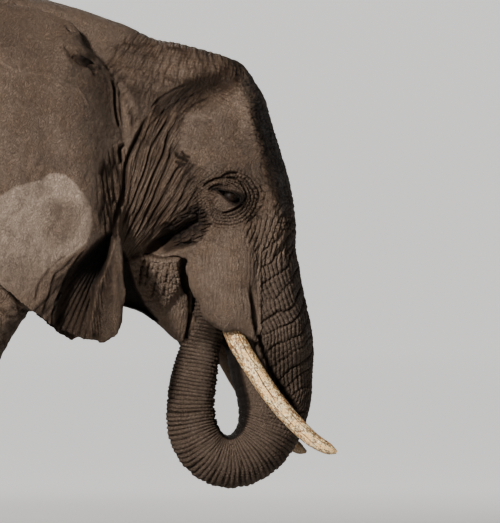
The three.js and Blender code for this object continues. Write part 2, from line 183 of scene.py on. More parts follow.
def near_line(points, line):
    """Distance to a line through places, and how far along it the nearest place is, from 0 to 1."""
    line = np.array(line, float)
    lengths = np.linalg.norm(np.diff(line, axis=0), axis=1)
    ends = np.concatenate([[0], np.cumsum(lengths)])
    distance, along = np.full(len(points), 9.0), np.zeros(len(points))
    for a, b, start, length in zip(line, line[1:], ends, lengths):
        t = np.clip((points - a) @ (b - a) / length**2, 0, 1)
        found = np.linalg.norm(points - a - t[:, None] * (b - a), axis=1)
        nearer = found < distance
        distance = np.where(nearer, found, distance)
        along = np.where(nearer, (start + t * length) / ends[-1], along)
    return distance, along


def inside(points, outline, soft):
    """1 inside a closed outline and 0 outside it, with a soft edge."""
    outline = np.array(outline, float)
    distance, _ = near_line(points, np.vstack([outline, outline[:1]]))
    crossed = np.zeros(len(points), bool)
    for a, b in zip(outline, np.roll(outline, -1, 0)):
        spans = (a[1] > points[:, 1]) != (b[1] > points[:, 1])
        rise = b[1] - a[1] if b[1] != a[1] else 1e-9
        crossed ^= spans & (points[:, 0] < (b[0] - a[0]) * (points[:, 1] - a[1]) / rise + a[0])
    return smoothstep(np.where(crossed, distance, -distance), -soft, soft)


def curve(places, count=24):
    """A smooth line through a few places."""
    p = np.array(places, float)
    ends = np.vstack([2 * p[0] - p[1], p, 2 * p[-1] - p[-2]])
    found = []
    for u in np.linspace(0, len(p) - 1, count):
        i = min(int(u), len(p) - 2)
        t = u - i
        a, b, c, d = ends[i : i + 4]
        found.append(b + t / 2 * (c - a + t * (2 * a - 5 * b + 4 * c - d + t * (3 * (b - c) + d - a))))
    return np.array(found)


def turns(count):
    """Equal steps once round a circle."""
    return np.linspace(0, 2 * math.pi, count, endpoint=False)


def set_values(mesh, values):
    for name, value in values.items():
        mesh.attributes.new(name, "FLOAT", "POINT").data.foreach_set("value", value.astype(np.float32))


def eye_ball(side):
    """The middle and radius of an eye's CAD solid."""
    low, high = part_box(f"eye_{side}")
    return (low + high) / 2, (high.z - low.z) / 2


# ---------------------------------------------------------------- base of the skin
def welded(name):
    """The CAD node's mesh with its split points joined, pushed out a little to meet its neighbours."""
    bm = bmesh.new()
    bm.from_mesh(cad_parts[name].data)
    bmesh.ops.remove_doubles(bm, verts=bm.verts, dist=1e-5)
    bm.normal_update()
    for v in bm.verts:
        v.co += v.normal * WELD_GROWTH
    mesh = bpy.data.meshes.new(name + "_welded")
    bm.to_mesh(mesh)
    bm.free()
    return mesh


def base_mesh():
    """One closed quad mesh round all the flesh, and for each of its points the index of its node in FLESH."""
    bm = bmesh.new()
    owner, corners, triangles = [], [], []
    for i, name in enumerate(FLESH + [f"eye_{side}" for side in SIDES]):
        mesh = welded(name)
        bm.from_mesh(mesh)
        mesh.calc_loop_triangles()
        start = len(corners)
        corners += [v.co.copy() for v in mesh.vertices]
        triangles += [[start + k for k in t.vertices] for t in mesh.loop_triangles]
        owner += [i if i < len(FLESH) else FLESH.index("head")] * len(mesh.loop_triangles)
        bpy.data.meshes.remove(mesh)
    whole = bpy.data.meshes.new("whole")
    bm.to_mesh(whole)
    bm.free()
    body = bpy.data.objects.new("whole", whole)
    bpy.context.scene.collection.objects.link(body)
    remesh = body.modifiers.new("voxels", "REMESH")
    remesh.mode = "VOXEL"
    remesh.voxel_size = VOXEL
    graph = bpy.context.evaluated_depsgraph_get()
    fine = bpy.data.meshes.new_from_object(body.evaluated_get(graph))
    bpy.data.objects.remove(body)
    co = points_of(fine)
    quads = np.empty(len(fine.loops), np.int32)
    fine.loops.foreach_get("vertex_index", quads)
    quads = quads.reshape(-1, 4)
    tree = BVHTree.FromPolygons(corners, triangles)
    nodes = np.array([owner[tree.find_nearest(p)[2]] for p in co.tolist()])
    return co, quads, nodes


def is_node(nodes, *names):
    return np.isin(nodes, [FLESH.index(name) for name in names]).astype(float)


class Smoother:
    """Averages values along a mesh's edges. Each point's weight says how strongly it takes part."""

    def __init__(self, co, quads):
        self.mesh = bpy.data.meshes.new("smoother")
        self.mesh.from_pydata(co.tolist(), [], quads.tolist())
        self.body = bpy.data.objects.new("smoother", self.mesh)
        bpy.context.scene.collection.objects.link(self.body)

    def __call__(self, values, weight, rounds, axes="XYZ"):
        self.mesh.vertices.foreach_set("co", values.astype(np.float32).ravel())
        group = self.body.vertex_groups.new(name="weight")
        steps = np.round(np.broadcast_to(weight, len(values)) * 40).astype(int)
        for step in np.unique(steps[steps > 0]):
            group.add(np.flatnonzero(steps == step).tolist(), step / 40, "REPLACE")
        smooth = self.body.modifiers.new("smooth", "SMOOTH")
        smooth.factor = 0.5
        smooth.iterations = rounds
        smooth.vertex_group = "weight"
        smooth.use_x, smooth.use_y, smooth.use_z = ("X" in axes), ("Y" in axes), ("Z" in axes)
        self.mesh.update()
        graph = bpy.context.evaluated_depsgraph_get()
        result = points_of(self.body.evaluated_get(graph).data)
        self.body.modifiers.clear()
        self.body.vertex_groups.clear()
        return result

    def keeping_size(self, co, weight, rounds, axes="XYZ"):
        """Smooths, and adds back the smooth part of what that took away, so that the shape doesn't shrink."""
        once = self(co, weight, rounds, axes)
        return once + self(co - once, weight, rounds, axes)

    def scalar(self, values, rounds, weight=1.0):
        return self(np.column_stack([values, values, values]), weight, rounds, "X")[:, 0]

    def normals(self, co):
        self.mesh.vertices.foreach_set("co", co.astype(np.float32).ravel())
        self.mesh.update()
        return normals_of(self.mesh)

    def close(self):
        bpy.data.objects.remove(self.body)
        bpy.data.meshes.remove(self.mesh)


def smooth_base(co, quads, nodes):
    """The smoothed points, and fields over them: which part of the body each belongs to, from 0 to 1."""
    smoother = Smoother(co, quads)
    parts = {
        "ear": (("ear_left", "ear_right"), 5),
        "head": (("head",), 8),
        "jaw": (("lower_jaw",), 6),
        "neck": (("neck",), 10),
        "trunk": (("trunk_upper", "trunk_middle", "trunk_bend", "trunk_end"), 8),
        "legs": (("foreleg_left", "foreleg_right", "hindleg_left", "hindleg_right"), 20),
    }
    fields = {name: smoother.scalar(is_node(nodes, *members), rounds) for name,
              (members, rounds) in parts.items()}
    face = np.clip(fields["head"] + fields["jaw"], 0, 1)
    foot = smoothstep(0.16 - co[:, 2], 0, 0.1)
    weight = (1 - 0.55 * face) * (1 - 0.6 * fields["trunk"]) * (1 - 0.9 * fields["ear"]) * (1 - 0.9 * foot)
    co = smoother.keeping_size(co, weight, 100)
    cheeks = face * smoothstep(np.abs(smoother.normals(co)[:, 1]), 0.55, 0.8)
    co = smoother.keeping_size(co, cheeks, 90, "Y")
    co = smoother.keeping_size(co, fields["ear"], 34, "Y")
    co = smoother.keeping_size(co, 0.8 * fields["ear"], 40, "XZ")
    co = smoother(co, 0.5, 3)
    fields["front"] = np.clip(fields["head"] + fields["jaw"] + fields["neck"] + fields["trunk"], 0, 1)
    fields["fore"] = np.clip(fields["front"] + fields["ear"], 0, 1)
    fields["node"] = nodes
    fields["normal"] = smoother.normals(co)
    fields["facing"] = smoothstep(np.abs(fields["normal"][:, 1]), 0.25, 0.6)
    fields["sides"] = fields["front"] * fields["facing"]
    fields["body"] = 1 - fields["fore"]
    fields["co"] = co
    smoother.close()
    return fields


# ---------------------------------------------------------------- finer mesh
def charts(co, normal, quads, nodes):
    """A map for each quad's corners: quads of one node that face one way and touch make a chart, and the
    charts lie in rows, each square to its way."""
    facing = normal[quads].sum(1)
    axis = np.abs(facing).argmax(1)
    kind = nodes[quads[:, 0]] * 6 + axis * 2 + (facing[np.arange(len(quads)), axis] > 0)
    ends = np.stack([quads, np.roll(quads, -1, 1)], 2).reshape(-1, 2).astype(np.int64)
    ends.sort(1)
    key = ends[:, 0] * len(co) + ends[:, 1]
    order = key.argsort(kind="stable")
    same = key[order][1:] == key[order][:-1]
    a, b = order[:-1][same] // 4, order[1:][same] // 4
    a, b = a[kind[a] == kind[b]], b[kind[a] == kind[b]]
    chart = np.arange(len(quads))
    while (chart[a] != chart[b]).any():
        np.minimum.at(chart, np.maximum(chart[a], chart[b]), np.minimum(chart[a], chart[b]))
        while (chart[chart] != chart).any():
            chart = chart[chart]
    _, chart = np.unique(chart, return_inverse=True)
    kept = np.array([(1, 2), (0, 2), (0, 1)])[axis]
    flat = np.take_along_axis(co[quads], kept[:, None, :], 2)
    low = np.full((chart.max() + 1, 2), 99.0)
    high = -low
    np.minimum.at(low, chart, flat.min(1))
    np.maximum.at(high, chart, flat.max(1))
    size = high - low + CHART_GAP
    side = 1.04 * math.sqrt((size[:, 0] * size[:, 1]).sum())
    corner = np.zeros_like(low)
    right = top = row = 0.0
    for k in np.argsort(-size[:, 1], kind="stable"):
        if right + size[k, 0] > side:
            right, top, row = 0.0, top + row, 0.0
        corner[k] = right, top
        right += size[k, 0]
        row = max(row, size[k, 1])
    return (flat - low[chart][:, None] + corner[chart][:, None] + CHART_GAP / 2) / max(side, top + row)


def split_quads(quads, places, chosen, fields):
    """Splits the chosen quads in four, with their corners' places on the map. Returns the new quads and
    places, and the split edges in order."""
    parts = quads[chosen]
    ends = np.stack([parts, np.roll(parts, -1, 1)], 2).reshape(-1, 2)
    ends.sort(1)
    count = len(fields["co"])
    keys, where = np.unique(ends[:, 0].astype(np.int64) * count + ends[:, 1], return_inverse=True)
    a, b = keys // count, keys % count
    mids = count + where.reshape(-1, 4)
    middles = count + len(keys) + np.arange(len(parts))
    for name, value in fields.items():
        if value.dtype.kind == "i":
            fields[name] = np.concatenate([value, value[a], value[parts[:, 0]]])
        else:
            fields[name] = np.concatenate([value, (value[a] + value[b]) / 2, value[parts].mean(1)])
    fresh = [np.column_stack([parts[:, k], mids[:, k], middles, mids[:, k - 1]]) for k in range(4)]
    spots = places[chosen]
    halves = (spots + np.roll(spots, -1, 1)) / 2
    centre = spots.mean(1)
    spread = [np.stack([spots[:, k], halves[:, k], centre, halves[:, k - 1]], 1) for k in range(4)]
    return np.concatenate(fresh), np.concatenate(spread), (keys, count)


def beside_split(quads, places, split):
    """Which quads have a split edge, and their faces and places with the points on those edges."""
    keys, count = split
    ends = np.stack([quads, np.roll(quads, -1, 1)], 2).astype(np.int64)
    ends.sort(2)
    wanted = ends[:, :, 0] * count + ends[:, :, 1]
    place = np.minimum(np.searchsorted(keys, wanted), len(keys) - 1)
    mids = np.where(keys[place] == wanted, count + place, -1)
    mixed = (mids >= 0).any(1)
    faces = np.stack([quads[mixed], mids[mixed]], 2).reshape(-1, 8)
    spots = places[mixed]
    spots = np.stack([spots, (spots + np.roll(spots, -1, 1)) / 2], 2).reshape(-1, 8, 2)
    return mixed, faces, spots


def side_view(co):
    """Places on either flank: ahead and up."""
    return np.column_stack([co[:, 0] * math.cos(LEAN) + np.abs(co[:, 1]) * math.sin(LEAN), co[:, 2]])


EYE_PLACE = np.array((1.309, 1.669))


def wanted(level, fields, quads):
    """Which quads to split: head, neck, ears and trunk, then the right side of the face, then the eyes."""
    co = fields["co"][quads[:, 0]]
    part = {name: fields[name][quads[:, 0]] for name in ("ear", "head", "jaw", "neck", "trunk")}
    eye = np.linalg.norm(side_view(co) - EYE_PLACE, axis=1)
    face = (part["head"] + part["jaw"] + part["trunk"] > 0.5) | ((part["neck"] > 0.5) & (co[:, 0] > 0.45))
    if level == 0:
        return face | ((part["ear"] > 0.5) & (co[:, 0] > 0.22))
    right = co[:, 1] < 0.012
    if level == 1:
        outward = fields["normal"][quads[:, 0]] @ np.array([-math.sin(LEAN), -math.cos(LEAN), 0]) > -0.25
        seen = right & outward & face & ((part["neck"] < 0.5) | (co[:, 0] > 0.62))
        return seen | (eye < 0.11) & face
    return (eye < 0.062) & (part["head"] > 0.5)


def refine(fields, quads, places):
    """Splits the quads of the finer parts. Returns faces as rows of points, with -1 where a face has fewer,
    and their corners' places on the map."""
    rows, spots = [], []
    for level in range(3):
        chosen = wanted(level, fields, quads)
        fresh, spread, split = split_quads(quads, places, chosen, fields)
        quads, places = quads[~chosen], places[~chosen]
        mixed, faces, extra = beside_split(quads, places, split)
        rows += [np.pad(quads[~mixed], ((0, 0), (0, 4)), constant_values=-1), faces]
        spots += [np.pad(places[~mixed], ((0, 0), (0, 4), (0, 0))), extra]
        quads, places = fresh, spread
    rows.append(np.pad(quads, ((0, 0), (0, 4)), constant_values=-1))
    spots.append(np.pad(places, ((0, 0), (0, 4), (0, 0))))
    return np.concatenate(rows), np.concatenate(spots)


def mesh_of(name, co, rows, spots=None):
    """A mesh of faces given as rows of points, where -1 is no point, and its map."""
    mesh = bpy.data.meshes.new(name)
    used = rows >= 0
    count = used.sum(1)
    mesh.vertices.add(len(co))
    mesh.vertices.foreach_set("co", co.astype(np.float32).ravel())
    mesh.loops.add(int(count.sum()))
    mesh.loops.foreach_set("vertex_index", rows[used].astype(np.int32))
    mesh.polygons.add(len(rows))
    mesh.polygons.foreach_set("loop_start", (np.cumsum(count) - count).astype(np.int32))
    mesh.update(calc_edges=True)
    if spots is not None:
        layer = mesh.uv_layers.new(name="OFBake")
        layer.uv.foreach_set("vector", spots[used].astype(np.float32).ravel())
    mesh.shade_smooth()
    return mesh


# ---------------------------------------------------------------- relief
class Relief:
    """Heights to add along the skin's normals, and for each point how much shade is painted into its colour:
    painted shade in folds, hollows and cast shadows, and painted light where the value is below 0.
    """

    def __init__(self, fields):
        self.co, self.fields = fields["co"], fields
        self.view = side_view(self.co)
        self.height, self.shade, self.dust, self.outward, self.drop, self.ahead = np.zeros((6, len(self.co)))
        self.warp = [noise(self.co, 0.11, seed) + 0.5 * noise(self.co, 0.045, seed + 7) for seed in (1, 2)]
        self.patchy = 0.5 + 0.5 * noise(self.co, 0.06, 5)

    def mask(self, part, outline=None, soft=0.03):
        found = self.fields[part].copy()
        if outline is not None:
            near = self._near(np.array(outline), soft + 0.01) & (found > 0)
            found[~near] = 0
            found[near] *= inside(self.view[near], outline, soft)
        return found

    def _near(self, places, margin):
        low, high = places.min(0) - margin, places.max(0) + margin
        return ((self.view > low) & (self.view < high)).all(1)

    def groove(self, places, depth, width, part="head", shade=1.0, taper=0.15, sharp=True):
        """A fold along a smooth line: a narrow groove between swollen lips, with painted shade along it."""
        line = curve(places)
        near = np.flatnonzero(self._near(line, 5 * width) & (self.fields[part] > 0.02))
        wander = 0.25 * width * np.column_stack([w[near] for w in self.warp])
        distance, along = near_line(self.view[near] + wander, line)
        ends = smoothstep(along, 0, taper) * smoothstep(1 - along, 0, taper) if taper else 1
        power = ends * self.fields[part][near]
        cut = np.exp(-((distance / width) ** 2))
        lips = np.exp(-(((distance - 2.0 * width) / (1.1 * width)) ** 2))
        self.height[near] += power * depth * ((0.3 * lips if sharp else 0) - cut)
        self.shade[near] += power * shade * cut

    def dent(self, outline, depth, soft, part="head", shade=0.0):
        mask = self.mask(part, outline, soft)
        self.height -= depth * mask
        # Painted shade over the dent.
        self.shade += shade * mask

    def swell(self, place, long, short, tilt, height, part="head", shade=0.0):
        """A soft round rise, or a hollow where the height is below 0. Its shade is painted over it: painted
        shade, and painted light where the shade is below 0.
        """
        away = self.view - np.array(place)
        turn = math.radians(tilt)
        u = (away[:, 0] * math.cos(turn) + away[:, 1] * math.sin(turn)) / long
        v = (-away[:, 0] * math.sin(turn) + away[:, 1] * math.cos(turn)) / short
        mask = self.fields[part] * np.exp(-(u**2) - v**2)
        self.height += height * mask
        self.shade += shade * mask

    def cells(self, mask, u, v, seed, depth, width=0.14, shade=0.6, warp=0.35):
        """Wrinkles between long cells, with painted shade in their cuts: u counts across the wrinkles and v
        along them.
        """
        near = np.flatnonzero(mask > 0.02)
        edge = cell_edges(u[near] + warp * self.warp[0][near], v[near] + warp * self.warp[1][near], seed)
        cut = np.exp(-((edge / width) ** 2)) * (0.45 + 0.55 * self.patchy[near])
        self.height[near] -= depth * mask[near] * cut
        self.height[near] += 0.35 * depth * mask[near] * smoothstep(edge, width, 0.45)
        self.shade[near] += shade * mask[near] * cut

    def stripes(self, mask, u, seed, depth, width=0.2, shade=0.5, warp=0.6):
        """Wrinkles side by side, with painted shade in them: u counts them."""
        near = np.flatnonzero(mask > 0.02)
        turn = u[near] + warp * self.warp[seed % 2][near]
        away = np.abs(turn - np.round(turn))
        lines = hashed(np.round(turn).astype(np.int64), near * 0, near * 0, seed)
        cut = np.exp(-((away / width) ** 2)) * (0.4 + 0.6 * lines) * (0.5 + 0.5 * self.patchy[near])
        self.height[near] -= depth * mask[near] * cut
        self.shade[near] += shade * mask[near] * cut

    def ridges(self, mask, u, seed, depth, shade=0.5, warp=0.5, sharp=0.55):
        """Rounded ridges side by side with sharp valleys between, and painted shade in the valleys: u counts
        them.
        """
        near = np.flatnonzero(mask > 0.02)
        turn = u[near] + warp * self.warp[seed % 2][near]
        strength = mask[near] * (0.55 + 0.45 * hashed(np.floor(turn).astype(np.int64), near * 0, near * 0,
                                                      seed))
        strength *= 0.6 + 0.4 * self.patchy[near]
        rise = np.abs(np.sin(math.pi * turn)) ** sharp
        self.height[near] += depth * strength * (rise - 0.75)
        self.shade[near] += shade * strength * (1 - rise) ** 2


def trunk_places(co, nodes):
    """For each point how far down the trunk it lies, its angle round from the front, and the half depth."""
    line = curve([(x, z) for x, z, _ in TRUNK], 340)
    row = np.linspace(0, len(TRUNK) - 1, 340)
    depth = np.interp(row, range(len(TRUNK)), [d for _, _, d in TRUNK])
    down = np.concatenate([[0], np.cumsum(np.linalg.norm(np.diff(line, axis=0), axis=1))])
    ahead = np.gradient(line, axis=0)
    ahead /= np.linalg.norm(ahead, axis=1)[:, None]
    outward = np.column_stack([-ahead[:, 1], ahead[:, 0]])
    place = np.zeros(len(co), int)
    for name, (first, last) in TRUNK_ROWS.items():
        mine = np.flatnonzero(nodes == FLESH.index(name))
        allowed = np.flatnonzero((row >= first) & (row <= last))
        flat = co[mine][:, [0, 2]]
        best = np.full(len(mine), 9.0)
        for k in allowed:
            distance = ((flat - line[k]) ** 2).sum(1)
            nearer = distance < best
            best = np.where(nearer, distance, best)
            place[mine[nearer]] = k
    out = ((co[:, [0, 2]] - line[place]) * outward[place]).sum(1)
    angle = np.arctan2(co[:, 1], out)
    more = ((co[:, [0, 2]] - line[place]) * ahead[place]).sum(1)
    return down[place] + more, angle, depth[place]


# ---------------------------------------------------------------- her head and neck
# Long folds of her neck, front to back, and the depth of each
NECK_FOLDS = [
    (0.016, [(1.003, 2.028), (0.962, 1.979), (0.929, 1.913), (0.897, 1.847), (0.88, 1.794), (0.876, 1.737),
             (0.868, 1.679), (0.848, 1.618), (0.835, 1.56), (0.827, 1.483)]),
    (0.004, [(1.233, 2.126), (1.159, 2.089), (1.094, 2.061), (1.04, 2.024), (0.991, 1.97), (0.958, 1.929),
             (0.934, 1.893)]),
    (0.005, [(1.159, 2.134), (1.102, 2.118), (1.044, 2.089), (0.995, 2.044), (0.971, 2.011)]),
    (0.004, [(1.266, 2.093), (1.2, 2.065), (1.143, 2.036), (1.094, 1.995), (1.061, 1.946)]),
    (0.007, [(1.073, 2.007), (1.036, 1.958), (1.003, 1.905), (0.975, 1.847), (0.962, 1.794), (0.946, 1.753),
             (0.921, 1.683), (0.897, 1.622), (0.868, 1.556), (0.848, 1.495)]),
    (0.008, [(1.098, 1.987), (1.052, 1.929), (1.032, 1.847), (1.007, 1.794), (0.975, 1.72), (0.954, 1.655),
             (0.921, 1.585), (0.889, 1.524), (0.86, 1.466)]),
    (0.007, [(1.077, 1.905), (1.061, 1.864), (1.052, 1.819), (1.024, 1.749), (1.003, 1.696), (0.971, 1.618),
             (0.938, 1.548), (0.905, 1.487)]),
    (0.007, [(1.143, 1.806), (1.089, 1.786), (1.061, 1.741), (1.032, 1.675), (0.991, 1.601), (0.954, 1.524)]),
    (0.006, [(1.159, 1.786), (1.126, 1.765), (1.094, 1.716), (1.061, 1.655), (1.016, 1.585), (0.975, 1.511)]),
    (0.007, [(1.171, 1.757), (1.135, 1.729), (1.11, 1.683), (1.085, 1.63), (1.044, 1.552)]),
    (0.006, [(1.18, 1.712), (1.159, 1.688), (1.135, 1.647), (1.11, 1.601)]),
]


def wrinkle_neck(relief):
    """Long folds that fan up from behind the jaw, fine ones between, and a net of thin lines on the nape."""
    ahead, up = relief.view[:, 0], relief.view[:, 1]
    low = (0.794, 1.306)
    angle = np.arctan2(ahead - low[0], up - low[1])
    reach = np.hypot(ahead - low[0], up - low[1])
    fan = relief.mask("front", [
        (0.831, 1.421), (0.848, 1.556), (0.876, 1.7), (0.889, 1.802), (0.929, 1.913), (0.962, 1.987),
        (1.012, 2.048), (1.094, 2.11), (1.192, 2.151), (1.29, 2.179), (1.352, 2.151), (1.34, 2.077),
        (1.282, 2.04), (1.192, 2.02), (1.126, 1.995), (1.106, 1.946), (1.094, 1.864), (1.135, 1.819),
        (1.2, 1.782), (1.204, 1.724), (1.175, 1.638), (1.192, 1.593), (1.118, 1.569), (1.032, 1.511),
        (0.971, 1.437), (0.897, 1.396),
    ], 0.0205)
    # Painted shade over the fan of folds behind the jaw.
    relief.shade += 0.34 * fan * smoothstep(1.217 - ahead, -0.10, 0.10)
    bent = angle - 0.8 * np.maximum(reach - 0.6, 0) ** 2
    lower = fan * (1 - 0.75 * smoothstep(ahead, 1.094, 1.225))
    relief.cells(lower, bent / 0.042, reach / 0.34, 11, 0.0040, 0.10, 0.42, 0.2)
    relief.cells(lower, bent / 0.019, reach / 0.15, 13, 0.0032, 0.15, 0.42, 0.3)
    relief.stripes(fan, (reach + 0.1 * angle) / 0.015, 14, 0.0008, 0.25, 0.12)
    nape = relief.mask("front", [
        (0.786, 2.192), (0.839, 2.294), (0.929, 2.364), (1.032, 2.356), (1.237, 2.294), (1.364, 2.208),
        (1.34, 2.143), (1.196, 2.143), (1.118, 2.122), (1.044, 2.093), (0.979, 2.036), (0.938, 1.97),
        (0.905, 1.905), (0.872, 2.028),
    ], 0.0246)
    top = (1.204, 2.786)
    nape_angle = np.arctan2(ahead - top[0], top[1] - up)
    relief.cells(nape, nape_angle / 0.06, reach / 0.10, 15, 0.0028, 0.15, 0.4, 0.5)
    relief.cells(nape, nape_angle / 0.026, reach / 0.05, 17, 0.0018, 0.2, 0.35, 0.3)
    relief.stripes(nape, (up + 0.15 * ahead) / 0.0125, 16, 0.0008, 0.22, 0.2)
    # Painted shade over the nape, along the top of the neck.
    relief.shade += 0.22 * nape
    for k, (depth, places) in enumerate(NECK_FOLDS):
        relief.groove(places, depth, 0.0082 if k == 0 else 0.0043, "fore" if k == 0 else "front",
                      min(1.2, 110 * depth), 0.25 if k < 4 else 0.15)
    pleats = relief.mask("fore", [(0.774, 1.774), (0.807, 1.839), (0.843, 1.872), (0.872, 1.856),
                                  (0.868, 1.7), (0.843, 1.495), (0.807, 1.487), (0.778, 1.597)], 0.0246)
    # Painted shade over the pleats by the ear's root.
    relief.shade += 0.35 * pleats
    relief.cells(pleats, (ahead + 0.06 * up) / 0.019, up / 0.20, 18, 0.0062, 0.13, 0.9, 0.3)
    relief.cells(pleats, (ahead + 0.06 * up) / 0.0085, up / 0.05, 19, 0.0024, 0.2, 0.4, 0.3)


def shape_head(relief):
    """The hollow of her temple, brow and cheekbone, the forehead's front, and the folds behind the cheek,
    with painted shade in hollows and folds, painted shadow down the forehead's front and beside the tusk, and
    a painted highlight on a ledge under the temple.
    """
    ahead, up = relief.view[:, 0], relief.view[:, 1]
    # The temple's three hollows carry painted shade, and the ledge under them, the fourth, a painted
    # highlight.
    for place, long, short, tilt, height, shade in (
        ((1.225, 2.089), 0.1189, 0.0615, 6, -0.048, 0.30), ((1.29, 2.126), 0.0492, 0.041, 4, -0.014, 0.20),
        ((1.315, 2.134), 0.0246, 0.0328, -20, -0.008, 0.35), ((1.192, 1.991), 0.0697, 0.0185, -6, 0.016,
                                                              -0.9),
        ((1.225, 2.2), 0.123, 0.0369, 6, 0.010, 0.0),
        ((1.29, 1.802), 0.0984, 0.0246, -2, 0.013, 0.0), ((1.282, 1.339), 0.0984, 0.1394, 0, 0.012, 0.0),
        ((1.409, 1.638), 0.0369, 0.0902, 0, -0.010, 0.0), ((1.43, 2.069), 0.0328, 0.0574, 10, -0.006, 0.0),
    ):
        relief.swell(place, long, short, tilt, height, "head", shade)
    # A broad soft fold under the crown, painted dark as the temple hollow's shade.
    relief.groove([(1.348, 2.155), (1.294, 2.147), (1.237, 2.134), (1.18, 2.126), (1.13, 2.106),
                   (1.081, 2.077), (1.032, 2.036), (0.983, 1.987)], 0.014, 0.0369, "front", 0.62, 0.15, False)
    # The deep fold behind the cheek, with painted shadow near black in it.
    relief.groove([(0.942, 1.421), (0.979, 1.442), (1.02, 1.47), (1.077, 1.507), (1.135, 1.544),
                   (1.208, 1.585)],
                  0.050, 0.0254, "front", 1.05, 0.25, False)
    relief.groove([(1.003, 1.454), (1.032, 1.495), (1.04, 1.536), (1.052, 1.569)], 0.022, 0.0164, "front",
                  0.9, 0.2, False)
    relief.groove([(1.012, 1.437), (1.077, 1.458), (1.135, 1.478), (1.175, 1.483)], 0.016, 0.0123, "front",
                  1.1, 0.2, False)
    crumpled = relief.mask("front", [(1.044, 1.544), (1.094, 1.601), (1.159, 1.634), (1.2, 1.61),
                                     (1.221, 1.552), (1.184, 1.495), (1.102, 1.462), (1.044, 1.47)], 0.0164)
    # Painted shade over the crumpled skin round the fold.
    relief.shade += 0.4 * crumpled
    relief.cells(crumpled, (up - 0.5 * ahead) / 0.017, (ahead + 0.5 * up) / 0.065, 21, 0.0110, 0.16, 0.8)
    relief.cells(crumpled, (up - 0.5 * ahead) / 0.009, (ahead + 0.5 * up) / 0.03, 26, 0.0030, 0.2, 0.4)
    edge, _ = near_line(relief.view, [(1.34, 2.225), (1.401, 2.13), (1.43, 2.069), (1.483, 1.864),
                                      (1.532, 1.659), (1.557, 1.495)])
    corner = smoothstep(up, 1.495, 1.659) * smoothstep(2.208 - up, 0, 0.08)
    side = smoothstep(np.abs(relief.fields["normal"][:, 1]), 0.05, 0.40)
    amount = 0.028 + 0.024 * smoothstep(up, 1.823, 2.036)
    relief.outward += amount * corner * relief.fields["head"] * bump(edge, 0.052, 0.040) * side
    # Painted shadow down the forehead's front, from about eye level to below the crown; it stays dark from
    # every side.
    forehead_painted_shadow = relief.mask("front", [(1.413, 2.077), (1.381, 2.003), (1.422, 1.872), (1.426, 1.749),
                                   (1.475, 1.634), (1.553, 1.626), (1.536, 1.782), (1.504, 1.946)], 0.0205)
    relief.shade += 0.6 * forehead_painted_shadow
    ahead_facing = smoothstep(relief.fields["normal"][:, 0], 0.1, 0.8)
    ahead_facing *= np.clip(relief.fields["head"] + relief.fields["trunk"], 0, 1) * smoothstep(ahead, 1.25,
        1.40)
    y = relief.co[:, 1]
    plain = ahead_facing * relief.fields["head"] * smoothstep(up, 1.433, 1.556)
    relief.ahead += 0.016 * plain * bump(y, 0, 0.11) * smoothstep(2.171 - up, 0, 0.12)
    relief.ahead += 0.006 * plain * noise(relief.co, 0.13, 35)
    relief.cells(plain, (y + 0.2 * up) / 0.034, up / 0.030, 36, 0.0030, 0.13, 0.4, 0.6)
    relief.cells(plain, y / 0.015, up / 0.013, 37, 0.0014, 0.2, 0.25, 0.6)
    relief.ahead += ahead_facing * 0.0164 * bump(up, 1.659, 0.246)
    relief.ahead += ahead_facing * 0.009 * bump(up, 2.081, 0.0574)
    relief.ahead += ahead_facing * 0.0107 * bump(up, 1.077, 0.1476)
    brow = relief.mask("head", [(1.34, 2.192), (1.43, 2.069), (1.471, 1.946), (1.512, 1.761), (1.43, 1.782),
                                (1.381, 1.987), (1.323, 2.089)], 0.0164)
    relief.cells(brow, up / 0.016, ahead / 0.014, 22, 0.0018, 0.22, 0.25)
    smooth = relief.mask("head", [(1.094, 2.069), (1.319, 2.102), (1.43, 2.028), (1.504, 1.659),
                                  (1.43, 1.413), (1.175, 1.454), (1.094, 1.823)], 0.0328)
    relief.cells(smooth, (up + 0.3 * ahead) / 0.012, (ahead - 0.4 * up) / 0.014, 23, 0.0012, 0.2, 0.15, 0.7)
    relief.cells(smooth, (up + 0.5 * ahead) / 0.034, (ahead - 0.5 * up) / 0.060, 34, 0.0016, 0.09, 0.3, 0.5)
    relief.height += 0.005 * relief.fields["head"] * noise(relief.co, 0.10, 27)
    # The first groove runs beside the tusk, painted near black as the tusk's shadow on the trunk; the other
    # three are small folds behind the eye, with painted shade in them.
    for places, depth, width in (
        (((1.385, 1.331), (1.387, 1.249), (1.397, 1.167), (1.417, 1.093), (1.442, 1.027), (1.475, 0.945),
          (1.524, 0.876), (1.598, 0.777)), 0.020, 2.1),
        (((1.077, 1.852), (1.089, 1.831), (1.11, 1.823), (1.135, 1.811)), 0.008, 1.2),
        (((1.102, 1.856), (1.118, 1.835), (1.143, 1.827)), 0.006, 1.0),
        (((1.077, 1.815), (1.098, 1.802), (1.122, 1.802)), 0.006, 1.0),
    ):
        relief.groove(places, depth, width * FOLD, "fore", 1.3 if width > 2 else 1.0)


# The trunk's front edge: up and ahead. Then how far out its flank lies: how far behind that edge, and
# the distance from the middle
TRUNK_EDGE = [(0.716, 1.586), (1.044, 1.639), (1.249, 1.602), (1.454, 1.565), (1.659, 1.545)]
FLANK = [(0.0, 0.10), (0.0246, 0.165), (0.0492, 0.210), (0.0738, 0.238), (0.1025, 0.254), (0.1722, 0.270)]


